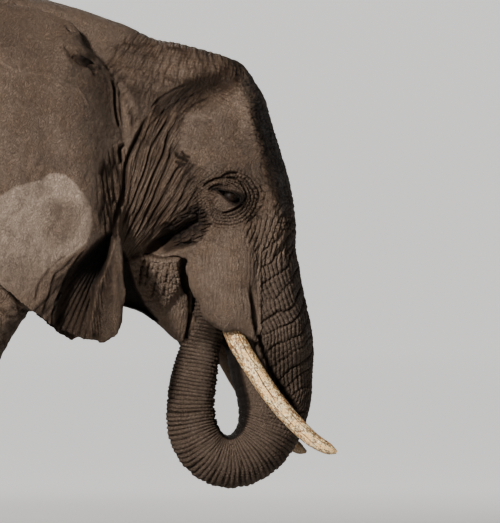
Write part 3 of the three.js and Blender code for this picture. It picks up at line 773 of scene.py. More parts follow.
def widen_trunk(relief):
    """Brings the flanks of the trunk's root out, so that they run on from the cheeks, and paints light on
    them.
    """
    ahead, up = relief.view[:, 0], relief.view[:, 1]
    out = np.abs(relief.co[:, 1])
    behind = np.interp(up, *zip(*TRUNK_EDGE)) - ahead
    target = np.interp(behind, *zip(*FLANK))
    where = smoothstep(ahead, 1.393, 1.413) * smoothstep(behind, 0, 0.03)
    where *= smoothstep(1.659 - up, 0, 0.14) * smoothstep(up, 0.88, 1.146)
    where *= np.clip(relief.fields["head"] + relief.fields["trunk"], 0, 1)
    where *= smoothstep(out / target, 0.40, 0.58)
    relief.outward += 0.92 * where * np.maximum(target - out, 0)
    # Painted light on the flank, away from the trunk's front edge.
    relief.shade -= 0.35 * where * smoothstep(behind, 0.02, 0.06)


def wrinkle_cheek(relief):
    """Fine upright lines from below her eye down to the tusk's sheath, and stronger ones beside the trunk."""
    ahead, up = relief.view[:, 0], relief.view[:, 1]
    cheek = relief.mask("head", [(1.135, 1.454), (1.2, 1.503), (1.323, 1.528), (1.405, 1.56), (1.43, 1.413),
                                 (1.405, 1.249), (1.43, 1.044), (1.278, 1.118), (1.155, 1.216)], 0.0246)
    fall = ahead + 0.18 * np.maximum(up - 1.4, 0) * (ahead - 1.28) / 0.1
    relief.cells(cheek, fall / 0.0150, up / 0.13, 24, 0.0017, 0.14, 0.30, 0.6)
    relief.cells(cheek, fall / 0.0065, up / 0.045, 28, 0.0008, 0.22, 0.16, 0.3)
    beside = relief.mask("head", [(1.34, 1.569), (1.389, 1.618), (1.438, 1.585), (1.471, 1.638),
                                  (1.52, 1.634), (1.553, 1.495), (1.569, 1.405), (1.504, 1.405), (1.43, 1.29),
                                  (1.389, 1.405)], 0.0205)
    relief.cells(beside, (ahead - 0.30 * up) / 0.018, up / 0.16, 29, 0.0058, 0.12, 0.7, 0.3)
    relief.cells(beside, (ahead - 0.25 * up) / 0.0085, up / 0.06, 20, 0.0022, 0.2, 0.3, 0.3)
    behind = relief.mask("front", [(1.143, 1.454), (1.233, 1.454), (1.217, 1.249), (1.175, 1.2),
                                   (1.135, 1.249)], 0.0164)
    relief.cells(behind, ahead / 0.014, up / 0.035, 25, 0.0022, 0.18, 0.3)
    corner = relief.mask("trunk", [(1.13, 1.331), (1.233, 1.331), (1.274, 1.159), (1.274, 1.036),
                                   (1.13, 1.036)], 0.0123)
    relief.outward += 0.20 * corner * relief.fields["facing"] * smoothstep(up, 1.036, 1.257)
    lip = relief.mask("head", [(1.171, 1.241), (1.225, 1.22), (1.298, 1.183), (1.319, 1.044), (1.159, 1.044)],
                      0.0246)
    relief.drop += 0.034 * lip


def wrinkle_jaw(relief):
    """Crackled sides, a smooth tip, the gap to her cheek, and the hollow of the throat behind. The gap and
    the throat are painted near black as shadow, and the jaw a little lighter as painted light.
    """
    ahead, up = relief.view[:, 0], relief.view[:, 1]
    jaw = relief.mask("front", [(0.88, 1.405), (0.929, 1.433), (1.094, 1.413), (1.118, 1.331), (1.061, 1.249),
                                (1.012, 1.175), (0.954, 1.224), (0.905, 1.314)], 0.0164)
    relief.cells(jaw, (ahead + 0.2 * up) / 0.019, up / 0.027, 31, 0.0064, 0.12, 0.45)
    # Painted light over the jaw.
    relief.shade -= 0.25 * jaw
    relief.cells(jaw, ahead / 0.0110, up / 0.014, 32, 0.0030, 0.18, 0.3)
    relief.outward += 0.030 * jaw
    tip = relief.mask("front", [(1.036, 1.29), (1.11, 1.372), (1.126, 1.249), (1.11, 1.077), (1.012, 1.077),
                                (0.979, 1.183)],
                      0.0205)
    relief.cells(tip, (ahead - 0.1 * up) / 0.013, up / 0.04, 33, 0.0024, 0.18, 0.3)
    for places, depth, width in (
        (((0.942, 1.433), (0.995, 1.421), (1.04, 1.417), (1.085, 1.421), (1.118, 1.401)), 0.014, 1.6),
        (((0.958, 1.421), (0.942, 1.372), (0.934, 1.306)), 0.012, 1.5),
        (((0.971, 1.405), (0.962, 1.347), (0.954, 1.298)), 0.008, 1.2),
        (((1.012, 1.396), (0.999, 1.331), (0.979, 1.249)), 0.006, 1.3),
        (((1.052, 1.388), (1.04, 1.323), (1.028, 1.249)), 0.006, 1.3),
    ):
        relief.groove(places, depth, width * FOLD, "front", 0.8)
    # The gap between jaw and cheek, painted near black as shadow.
    relief.groove([(1.098, 1.425), (1.11, 1.384), (1.122, 1.335), (1.135, 1.265)], 0.034, 0.0148, "sides",
                  2.0, 0.2, False)
    relief.groove([(1.126, 1.314), (1.139, 1.253), (1.139, 1.187), (1.13, 1.126), (1.114, 1.073)], 0.024,
                  0.007, "sides",
                  1.9, 0.1, False)
    throat = relief.mask("front", [(0.843, 1.454), (0.868, 1.446), (0.889, 1.396), (0.913, 1.306),
                                   (0.954, 1.228), (1.003, 1.167), (0.995, 1.105), (0.815, 1.187)], 0.0103)
    relief.outward -= 0.050 * throat * relief.fields["facing"]
    # The recessed throat, painted black as shadow.
    relief.shade += 2.0 * throat


def wrinkle_eye(relief):
    """Rings round the eye, the folds of its lids, and the brow's deep fold."""
    away = relief.view - np.array((1.286, 1.663))
    ring = np.hypot(away[:, 0] / 1.12, away[:, 1] / 0.95)
    angle = np.degrees(np.arctan2(away[:, 1], away[:, 0]))
    head = relief.fields["head"]
    rings = head * smoothstep(ring, 0.046, 0.058) * smoothstep(0.150 - ring, 0, 0.045)
    front = rings * smoothstep(angle, -135, -105) * smoothstep(88 - angle, 0, 35)
    relief.ridges(front, ring / 0.0125, 41, 0.0080, 1.5, 0.7, 0.7)
    relief.cells(rings, angle / 7, ring / 0.016, 46, 0.0030, 0.18, 0.5, 0.6)
    bag = head * bump(ring, 0.046, 0.026) * smoothstep(np.abs(angle + 40), 100, 125)
    relief.cells(bag, angle / 8, ring / 0.05, 42, 0.0055, 0.18, 0.8)
    under = head * bump(ring, 0.058, 0.022) * smoothstep(-20 - angle, 0, 25) * smoothstep(angle + 150, 0, 20)
    relief.ridges(under, ring / 0.0085, 45, 0.0058, 1.2, 0.6)
    lid = relief.mask("head", [(1.241, 1.729), (1.282, 1.745), (1.335, 1.737), (1.348, 1.696), (1.282, 1.692),
                               (1.233, 1.7)],
                      0.0062)
    relief.ridges(lid, (away[:, 1] + 0.25 * away[:, 0]) / 0.0080, 43, 0.0046, 1.2, 0.6)
    left = relief.mask("head", [(1.151, 1.675), (1.167, 1.733), (1.217, 1.765), (1.274, 1.782),
                                (1.282, 1.749), (1.233, 1.716), (1.2, 1.642), (1.167, 1.601)], 0.0123)
    relief.ridges(left, (away[:, 1] - 0.8 * away[:, 0]) / 0.0135, 44, 0.0070, 1.3, 0.4)
    for places, depth, width in (
        (((1.188, 1.708), (1.212, 1.726), (1.245, 1.741), (1.278, 1.747), (1.311, 1.745), (1.335, 1.737)),
         0.010, 1.1),
        (((1.266, 1.749), (1.282, 1.759), (1.303, 1.765), (1.331, 1.765)), 0.010, 1.2),
        (((1.208, 1.692), (1.229, 1.708), (1.253, 1.716), (1.278, 1.718)), 0.008, 1.0),
        (((1.221, 1.692), (1.245, 1.7), (1.266, 1.696)), 0.007, 1.0),
        (((1.335, 1.737), (1.35, 1.708), (1.36, 1.675), (1.352, 1.647)), 0.009, 1.0),
        (((1.352, 1.651), (1.327, 1.626), (1.298, 1.61), (1.266, 1.601)), 0.009, 1.1),
    ):
        relief.groove(places, depth, width * FOLD, taper=0.12)


def lid_places(along, up):
    """Places round an eye, along its slit and across it. The slit slants down ahead."""
    cos, sin = math.cos(SLIT_TILT), math.sin(SLIT_TILT)
    return along * cos + up * sin, -along * sin + up * cos


def slit_places(wide, tall):
    """0 at the middle of an eye's slit and 1 at its edge. It is long and thin behind, and high ahead."""
    half = np.where(wide < 0, EYE_SLIT[0], EYE_SLIT[1])
    height = np.where(tall > 0, EYE_SLIT[2], EYE_SLIT[3]) * (1 + 9 * np.clip(wide, -0.06, 0.04))
    return np.sqrt((wide / half) ** 2 + (tall / height) ** 2)


def open_eyes(relief):
    """Swells the lids over the eyeballs, opens the slit between them and paints shade into it. Returns how
    far each point moves.
    """
    shift = np.zeros_like(relief.co)
    for side, sign in SIDES.items():
        ball, radius = eye_ball(side)
        co = relief.co
        near = np.flatnonzero((np.abs(co[:, 0] - ball.x) < 0.11) & (np.abs(co[:, 2] - ball.z) < 0.11)
                              & (co[:, 1] * sign > 0.2) & (relief.fields["head"] > 0.3))
        along, up = co[near, 0] - ball.x, co[near, 2] - ball.z
        out = co[near, 1] * sign
        away = np.hypot(along, up)
        wide, tall = lid_places(along, up)
        surface = abs(ball.y) + np.sqrt(np.maximum(radius**2 - away**2, 0))
        swollen = abs(ball.y) + radius + 0.004 + 0.008 * smoothstep(tall, -0.01, 0.02)
        lid = out + (swollen - out[away.argmin()]) * np.exp(-((wide / 0.046) ** 2) - (tall / 0.032) ** 2)
        lid = np.where(away < radius, np.maximum(lid, surface + 0.003), lid)
        slit = slit_places(wide, tall)
        floor = np.where(away < radius, np.minimum(surface, abs(ball.y) + 0.018) - 0.004, abs(ball.y) + 0.002)
        closed = smoothstep(slit, 0.94, 1.06)
        target = (lid + 0.002 * bump(slit, 1.16, 0.14)) * closed + np.minimum(floor, lid) * (1 - closed)
        shift[near, 1] += sign * (target - out)
        relief.height[near] *= smoothstep(slit, 0.9, 1.5)
        # Clears other painted shade from the slit, paints shade into its recess, and a ring of painted shade
        # round it.
        relief.shade[near] *= smoothstep(slit, 1.0, 1.5)
        relief.shade[near] += 1.6 * (1 - smoothstep(slit, 1.0, 1.3)) + 0.9 * bump(slit, 1.3, 0.45)
    return shift


# ---------------------------------------------------------------- her trunk
def wrinkle_trunk(relief):
    """A lattice of ridges on the trunk's front, rings lower down, and knobs along its inner edge, with
    painted shade in their valleys and painted shadow on the curl's inner wall.
    """
    down, angle, depth = trunk_places(relief.co, relief.fields["node"])
    turn = np.abs(angle)
    along = angle * depth
    on_head = relief.mask("head", [(1.43, 1.474), (1.495, 1.556), (1.545, 1.679), (1.709, 1.659),
                                   (1.709, 0.757), (1.463, 0.757), (1.413, 1.126), (1.413, 1.29)], 0.0287)
    whole = np.clip(relief.fields["trunk"] + on_head, 0, 1)
    front = whole * smoothstep(2.2 - turn, 0, 0.5)
    lattice = front * smoothstep(1.08 - down, 0, 0.2)
    rise = down - 0.55 * np.abs(along)
    bands = rise / 0.066 + 0.5 * relief.warp[0]
    jump = hashed(np.floor(bands).astype(np.int64), 0, 0, 60)
    upright = along * (1 + 0.25 * smoothstep(0.5 - down, 0, 0.5)) + (jump - 0.5) * 0.5 * rise
    relief.ridges(lattice, upright / 0.0178 + 3 * jump, 51, 0.0125, 1.3, 0.6, 0.7)
    relief.ridges(lattice * smoothstep(down, 0.25, 0.45), rise / 0.026, 52, 0.0045, 0.6, 0.6, 0.6)
    relief.stripes(lattice * smoothstep(down, 0.15, 0.35), bands, 53, 0.0130, 0.09, 1.1, 0.0)
    relief.cells(lattice, along / 0.009, rise / 0.013, 58, 0.0014, 0.2, 0.2)
    rings = whole * smoothstep(down, 0.84, 1.08)
    bend = smoothstep(1.75 - down, 0, 0.25)
    relief.ridges(rings, down / 0.0150, 54, 0.0086, 1.6, 0.28, 0.8)
    relief.stripes(rings * bend * smoothstep(2.2 - turn, 0, 0.5), down / 0.047, 55, 0.0060, 0.12, 0.5, 0.3)
    relief.cells(rings * smoothstep(1.6 - turn, 0, 0.6), along / 0.012, down / 0.0135, 56, 0.0030, 0.2, 0.4)
    flank = whole * bump(turn, 1.9, 0.6) * smoothstep(down, 0.45, 0.8) * smoothstep(1.1 - down, 0, 0.2)
    relief.ridges(flank, (down + 0.3 * along) / 0.013, 57, 0.0030, 0.7, 0.5)
    relief.cells(flank, along / 0.014, down / 0.03, 50, 0.0025, 0.18, 0.4)
    knobs = whole * smoothstep(turn, 1.9, 2.5) * smoothstep(down, 1.40, 1.55)
    # A little painted shade over the whole trunk.
    relief.shade += 0.14 * relief.fields["trunk"]
    relief.cells(knobs, along / 0.021, down / 0.024, 59, 0.0035, 0.16, 0.8)
    lobes = np.abs(np.sin(math.pi * down / 0.05 + relief.warp[0]))
    relief.height += 0.006 * knobs * smoothstep(turn, 2.4, 2.9) * (lobes - 0.5)
    # Painted shadow, near black, on the inner wall of the trunk's curl, with a bulge and lobes there.
    inner = whole * smoothstep(turn, 2.5, 2.7) * smoothstep(1.6 - down, 0, 0.1)
    relief.shade += 1.9 * inner
    relief.height += inner * (0.014 * bump(down, 0.93, 0.10) + 0.003 * (lobes - 0.5))


# ---------------------------------------------------------------- her ears
def shape_ears(relief):
    """Folds of the ears' sheets, which move both of their faces."""
    ahead, up = relief.view[:, 0], relief.view[:, 1]
    ear, facing = relief.fields["ear"], relief.fields["facing"]
    shift = np.zeros(len(ear))
    root = (0.827, 1.528)
    angle = np.arctan2(root[0] - ahead, root[1] - up)
    reach = np.hypot(ahead - root[0], up - root[1])
    hollow = relief.mask("ear", [(0.819, 1.519), (0.753, 1.458), (0.696, 1.401), (0.659, 1.343),
                                 (0.63, 1.278), (0.606, 1.187), (0.593, 1.064), (0.737, 1.064),
                                 (0.737, 1.167), (0.749, 1.249), (0.753, 1.31), (0.782, 1.351),
                                 (0.807, 1.421)], 0.0123)
    shift -= 0.060 * hollow * (0.35 + 0.65 * smoothstep(up, 1.064, 1.208))
    # Painted shadow in the ear's hollow, darkest near its root.
    relief.shade += hollow * (1.4 * smoothstep(0.32 - reach, 0, 0.2) + 0.35)
    lobe = relief.mask("ear", [(0.835, 1.495), (0.811, 1.413), (0.782, 1.335), (0.757, 1.265), (0.749, 1.175),
                               (0.745, 1.052), (0.913, 1.052), (0.913, 1.495)], 0.0103)
    shift += lobe * (0.003 + 0.45 * np.maximum(ahead - 0.757, 0))
    fan = relief.mask("ear", [(0.831, 1.528), (0.733, 1.47), (0.602, 1.339), (0.479, 1.159), (0.602, 1.044),
                              (0.856, 1.044), (0.864, 1.331)], 0.0205)
    # Painted shade over the lower ear's fan of folds, and over the ear's upper part.
    relief.shade += 0.50 * fan + 0.3 * ear * facing * smoothstep(up, 1.761, 2.089)
    folds = fan * smoothstep(reach, 0.1, 0.2)
    shift += 0.007 * folds * noise(np.column_stack([angle / 0.10, reach / 0.6]), 1.0, 61)
    relief.ridges(hollow * facing, angle / 0.060, 66, 0.012, 0.9, 0.2, 0.9)
    relief.cells(fan * facing * (1 - hollow) * (1 - 0.85 * lobe), angle / 0.07, reach / 0.30, 62, 0.0040,
                 0.12, 0.7, 0.2)
    creased = facing * relief.mask("ear", [(0.798, 1.405), (0.761, 1.347), (0.737, 1.249), (0.737, 1.101),
                                           (0.782, 1.101), (0.79, 1.249), (0.819, 1.372)], 0.0123)
    relief.cells(creased, (ahead + 0.1 * up) / 0.012, up / 0.10, 67, 0.0040, 0.15, 0.8, 0.2)
    back = relief.mask("ear", [(0.355, 1.864), (0.745, 1.864), (0.798, 1.495), (0.602, 1.126),
                               (0.355, 1.126)], 0.0328)
    relief.cells(back * facing, (ahead - 0.45 * up) / 0.055, (up + 0.45 * ahead) / 0.16, 64, 0.0015, 0.14,
                 0.25)
    relief.cells(ear * facing, (ahead + 0.4 * up) / 0.018, (up - 0.3 * ahead) / 0.022, 65, 0.0006, 0.22, 0.14,
                 0.8)
    for places, depth, width, shade in (
        (((0.704, 1.454), (0.643, 1.388), (0.602, 1.351), (0.585, 1.29), (0.548, 1.183)), 0.0045, 1.1, 0.8),
        (((0.667, 1.446), (0.602, 1.396), (0.544, 1.323), (0.52, 1.232)), 0.003, 1.3, 0.5),
        (((0.733, 1.462), (0.683, 1.405), (0.634, 1.31), (0.602, 1.2)), 0.006, 1.1, 0.7),
        (((0.626, 1.298), (0.602, 1.228), (0.585, 1.126)), 0.008, 1.2, 0.9),
        (((0.823, 2.143), (0.835, 2.098), (0.837, 2.044), (0.843, 1.995), (0.856, 1.942)), 0.012, 1.1, 1.5),
        (((0.88, 1.884), (0.856, 1.856), (0.864, 1.802)), 0.012, 1.4, 1.0),
        (((0.675, 2.233), (0.708, 2.212), (0.737, 2.192), (0.766, 2.167)), 0.016, 1.7, 1.3),
    ):
        relief.groove(places, depth, width * FOLD, "fore", shade)
    # Raised rims, with painted light along them.
    for places, rise, width in (
        (((0.675, 2.274), (0.725, 2.241), (0.774, 2.204), (0.848, 2.134), (0.905, 2.052), (0.938, 1.975)),
         0.010, 4.2),
        (((0.852, 2.085), (0.88, 2.02), (0.893, 1.946), (0.901, 1.893)), 0.008, 3.4),
        (((0.355, 2.241), (0.388, 2.204), (0.454, 2.167), (0.573, 2.147), (0.663, 2.114), (0.716, 2.069),
          (0.741, 2.007)), 0.004, 0.9),
    ):
        relief.groove(places, -rise, width * FOLD, "fore", -0.3, sharp=False)
    # A small dent at the ear's top fold, with painted shade in it.
    relief.dent([(0.643, 2.266), (0.7, 2.249), (0.749, 2.208), (0.716, 2.184), (0.667, 2.208)], 0.012, 0.0164,
                "fore", 0.4)
    patch = relief.mask("ear", [(0.109, 1.454), (0.274, 1.569), (0.355, 1.638), (0.388, 1.667),
                                (0.442, 1.704), (0.548, 1.733), (0.577, 1.757), (0.61, 1.761), (0.643, 1.753),
                                (0.675, 1.729), (0.708, 1.688), (0.733, 1.651), (0.749, 1.601),
                                (0.749, 1.544), (0.725, 1.478), (0.626, 1.405), (0.52, 1.314), (0.396, 1.167),
                                (0.109, 1.126)], 0.0074)
    relief.outward += ear * (shift + 0.050 * bump(ahead, 0.733, 0.1066) * smoothstep(2.397 - up, 0, 0.2))
    middle = relief.mask("ear", [(0.585, 1.642), (0.659, 1.651), (0.708, 1.601), (0.683, 1.511),
                                 (0.602, 1.47), (0.552, 1.536)], 0.0369)
    relief.dust += patch * (0.75 - 0.5 * middle) * (1 - 0.7 * smoothstep(1.556 - up, 0, 0.30))


# ---------------------------------------------------------------- her body
def wrinkle_body(relief, normal):
    """Cracks all over in three directions, folds round the joints, and sagging folds on her flanks."""
    co = relief.co
    body = np.clip(1 - relief.fields["front"] - relief.fields["ear"], 0, 1)
    lean = normal**2
    flank = body * smoothstep(lean[:, 1], 0.2, 0.5)
    ends = body * smoothstep(lean[:, 0], 0.3, 0.6)
    level = body * smoothstep(lean[:, 2], 0.4, 0.7)
    x, y, z = co.T
    relief.cells(flank, (x + 0.2 * z) / 0.050, z / 0.080, 71, 0.0026, 0.11, 0.3, 0.8)
    relief.cells(ends, (y + 0.2 * z) / 0.055, z / 0.070, 72, 0.0024, 0.11, 0.3, 0.8)
    relief.cells(level, x / 0.055, y / 0.050, 73, 0.0022, 0.11, 0.3, 0.8)
    legs = relief.fields["legs"] * body
    relief.stripes(legs * bump(z, 0.62, 0.22), z / 0.045, 74, 0.008, 0.15, 0.7, 0.8)
    relief.stripes(legs * bump(z, 0.20, 0.09), z / 0.030, 75, 0.006, 0.16, 0.6, 0.7)
    relief.cells(legs * smoothstep(1.0 - z, 0, 0.3), np.arctan2(y, x) * 9, z / 0.05, 76, 0.0035, 0.15, 0.5)
    elbow = body * bump(z, 1.159, 0.19) * smoothstep(x, 0.20, 0.36) * smoothstep(np.abs(y), 0.16, 0.26)
    relief.ridges(elbow, (z + 0.25 * x) / 0.038, 81, 0.0120, 1.1, 0.8)
    # Painted shade over the elbow, where the ear's shadow falls.
    relief.shade += 0.3 * elbow
    relief.ahead += 0.045 * body * bump(z, 1.216, 0.10) * smoothstep(normal[:, 0], 0.0, 0.6) * (x > 0.2)
    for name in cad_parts:
        if name.startswith("nail_"):
            low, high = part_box(name)
            away = np.hypot(np.hypot(x - (low.x + high.x) / 2, y - (low.y + high.y) / 2), 0.9 * (z - 0.055))
            # A low rim round the foot of each toenail, with a ring of painted shade in the groove inside it.
            relief.height += body * (0.006 * bump(away, 0.062, 0.012) - 0.004 * bump(away, 0.043, 0.010))
            relief.shade += 0.7 * body * bump(away, 0.046, 0.010)
    hips = body * smoothstep(-x, 1.0, 1.3) * smoothstep(z, 0.9, 1.2)
    relief.stripes(hips, (x + 0.5 * z) / 0.07, 77, 0.007, 0.14, 0.4, 0.9)
    shoulder = body * bump(x, 0.42, 0.16) * smoothstep(z, 1.0, 1.3)
    relief.stripes(shoulder, (x + 0.25 * z) / 0.06, 78, 0.008, 0.14, 0.5, 0.7)
    relief.height += body * 0.006 * noise(co, 0.22, 79) + body * 0.003 * noise(co, 0.09, 80)
    for place, long, short, tilt, height in (
        ((0.44, 1.70), 0.10, 0.36, 12, 0.022), ((0.12, 1.72), 0.11, 0.33, 8, -0.016),
        ((-1.12, 1.98), 0.17, 0.12, 0, 0.026),
        ((-0.80, 1.80), 0.14, 0.28, -8, -0.020), ((-1.16, 1.32), 0.20, 0.32, -10, 0.020),
        ((-0.86, 1.02), 0.10, 0.13, 30, -0.022), ((0.30, 1.12), 0.12, 0.16, -20, 0.016),
    ):
        relief.swell(place, long, short, tilt, height, "body")


def make_skin():
    co, quads, nodes = base_mesh()
    fields = smooth_base(co, quads, nodes)
    places = charts(fields["co"], fields["normal"], quads, nodes)
    rows, spots = refine(fields, quads, places)
    normal = fields["normal"] / np.linalg.norm(fields["normal"], axis=1)[:, None]
    relief = Relief(fields)
    wrinkle_body(relief, normal)
    wrinkle_neck(relief)
    shape_head(relief)
    widen_trunk(relief)
    wrinkle_cheek(relief)
    wrinkle_jaw(relief)
    wrinkle_trunk(relief)
    shape_ears(relief)
    wrinkle_eye(relief)
    moved = open_eyes(relief)
    turned = relief.co @ np.array(Euler((0.7, 0.5, 0.9)).to_matrix())
    relief.height += 0.0008 * noise(turned, 0.014, 90) + 0.0010 * noise(turned, 0.035, 91)
    moved += normal * relief.height[:, None]
    moved[:, 1] += relief.outward * np.sign(relief.co[:, 1])
    moved[:, 0] -= relief.outward * math.tan(LEAN)
    moved[:, 0] += relief.ahead
    moved[:, 2] -= relief.drop
    co = relief.co + moved
    co[:, 2] = np.maximum(co[:, 2], 0)

    mesh = mesh_of("skin", co, rows, spots)
    # These carry the relief's painted shade and painted light, and the pale dust, to the skin's material.
    values = {"painted_shading": relief.shade, "dust": relief.dust, "body": fields["body"], "trunk": fields["trunk"]}
    set_values(mesh, {name: np.clip(value, -1, 2) for name, value in values.items()})
    skin = add_piece(mesh, skin_material())
    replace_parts(skin, *FLESH)
    return skin


# ---------------------------------------------------------------- materials
class Nodes:
    """Builds a material's nodes. Values may be numbers, colours or other nodes' outputs."""

    def __init__(self, name):
        self.material = bpy.data.materials.new(name)
        self.material.use_nodes = True
        self.tree = self.material.node_tree
        self.shader = self.tree.nodes["Principled BSDF"]

    def put(self, socket, value):
        if isinstance(value, bpy.types.NodeSocket):
            self.tree.links.new(value, socket)
        elif isinstance(value, tuple) and len(value) == 3 and socket.type == "RGBA":
            socket.default_value = (*value, 1)
        else:
            socket.default_value = value

    def node(self, kind, settings=(), **inputs):
        made = self.tree.nodes.new(kind)
        for name, value in dict(settings).items():
            setattr(made, name, value)
        for name, value in inputs.items():
            self.put(made.inputs[name.replace("_", " ")], value)
        return made

    def attribute(self, name):
        return self.node("ShaderNodeAttribute", {"attribute_name": name}).outputs["Fac"]

    def place(self):
        """The place on the object, in metres."""
        return self.node("ShaderNodeTexCoord").outputs["Object"]

    def noise(self, where, scale, detail=3.0, roughness=0.55):
        found = self.node("ShaderNodeTexNoise", Vector=where, Scale=scale, Detail=detail, Roughness=roughness)
        return found.outputs["Fac"]

    def cracks(self, where, scale):
        settings = {"feature": "DISTANCE_TO_EDGE"}
        return self.node("ShaderNodeTexVoronoi", settings, Vector=where, Scale=scale).outputs["Distance"]

    def math(self, operation, a, b=0.0, c=0.0):
        made = self.node("ShaderNodeMath", {"operation": operation})
        for socket, value in zip(made.inputs, (a, b, c)):
            self.put(socket, value)
        return made.outputs[0]

    def scaled(self, value, low, high, to_low=0.0, to_high=1.0):
        made = self.node("ShaderNodeMapRange", {"interpolation_type": "SMOOTHSTEP"}, Value=value)
        for name, number in (("From Min", low), ("From Max", high), ("To Min", to_low), ("To Max", to_high)):
            self.put(made.inputs[name], number)
        return made.outputs[0]

    def mix(self, factor, a, b, blend="MIX"):
        made = self.node("ShaderNodeMix", {"data_type": "RGBA", "blend_type": blend})
        colours = [socket for socket in made.inputs if socket.type == "RGBA"]
        self.put(made.inputs["Factor"], factor)
        self.put(colours[0], a)
        self.put(colours[1], b)
        return [socket for socket in made.outputs if socket.type == "RGBA"][0]

    def finish(self, colour, roughness, height=None, distance=0.001, specular=0.5, **extra):
        self.put(self.shader.inputs["Base Color"], colour)
        self.put(self.shader.inputs["Roughness"], roughness)
        self.shader.inputs["Specular IOR Level"].default_value = specular
        for name, value in extra.items():
            self.put(self.shader.inputs[name.replace("_", " ")], value)
        if height is not None:
            bumped = self.node("ShaderNodeBump", Height=height, Distance=distance)
            self.put(self.shader.inputs["Normal"], bumped.outputs["Normal"])
        return self.material


def skin_material():
    """Grey-brown hide: patchy earth tones, pale dust and a fine net of cracks. Painted shade darkens the
    cracks and all that the relief marks, its folds, hollows and cast shadows, near black at the darkest;
    painted light brightens where the relief's mark is below 0.
    """
    n = Nodes("elephant_skin")
    where = n.place()
    painted_shading, dust, body, trunk = (n.attribute(name) for name in ("painted_shading", "dust", "body", "trunk"))
    large = n.noise(where, 2.6, 3.0)
    medium = n.noise(where, 14.0, 4.0)
    fine = n.noise(where, 90.0, 3.0)
    colour = n.mix(n.scaled(large, 0.40, 0.62), SKIN_DARK, SKIN_LIGHT)
    colour = n.mix(n.scaled(medium, 0.46, 0.60, 0.0, 0.45), colour, SKIN_WARM)
    colour = n.mix(n.scaled(n.noise(where, 34.0, 3.0), 0.47, 0.57, 0.0, 0.35), colour, SKIN_DARK)
    colour = n.mix(n.scaled(trunk, 0.0, 1.0, 0.0, 0.95), colour, SKIN_DARK)
    colour = n.mix(n.math("MULTIPLY", n.scaled(fine, 0.35, 0.75), 0.30), colour, SKIN_PALE)
    powder = n.math("MULTIPLY", n.scaled(dust, 0.0, 1.0), n.scaled(medium, 0.30, 0.55, 0.55, 1.0))
    colour = n.mix(powder, colour, DUST)
    bent = n.node("ShaderNodeVectorMath", {"operation": "ADD"}, Vector=where)
    n.put(bent.inputs[1], n.math("MULTIPLY", medium, 0.12))
    net = n.cracks(bent.outputs[0], 105.0)
    plates = n.scaled(n.cracks(bent.outputs[0], 26.0), 0.0, 0.09)
    plates = n.math("MAXIMUM", plates, n.scaled(body, 0.2, 0.9, 1.0, 0.0))
    # Painted shade in the cracks: the fine net all over, and wider plates on the body.
    crack_painted_shade = n.math("MULTIPLY", n.scaled(net, 0.0, 0.10, 0.74, 1.0), n.scaled(plates, 0.0, 1.0, 0.70, 1.0))
    # Painted shade from the relief, near black in the darkest folds and cast shadows, and painted light where
    # it is below 0.
    deep = n.scaled(painted_shading, 0.05, 1.1, 1.0, 0.20)
    deepest = n.scaled(painted_shading, 1.1, 1.9, 1.0, 0.2)
    lit = n.scaled(painted_shading, -0.6, 0.0, 1.22, 1.0)
    shade = n.math("MULTIPLY", n.math("MULTIPLY", crack_painted_shade, deep), n.math("MULTIPLY", deepest, lit))
    # The painted shade grows browner as it darkens.
    grey = n.node("ShaderNodeCombineColor", Red=shade, Green=n.math("POWER", shade, 1.12),
                  Blue=n.math("POWER", shade, 1.24)).outputs[0]
    colour = n.mix(1.0, colour, grey, "MULTIPLY")
    height = n.math("ADD", n.scaled(net, 0.0, 0.16, 0.0, 1.0), n.math("MULTIPLY", fine, 0.8))
    height = n.math("ADD", height, n.math("MULTIPLY", n.noise(where, 320.0, 2.0), 0.35))
    height = n.math("ADD", height, n.math("MULTIPLY", plates, 1.5))
    rough = n.scaled(medium, 0.3, 0.7, 0.58, 0.78)
    return n.finish(colour, rough, height, 0.0021, 0.16)


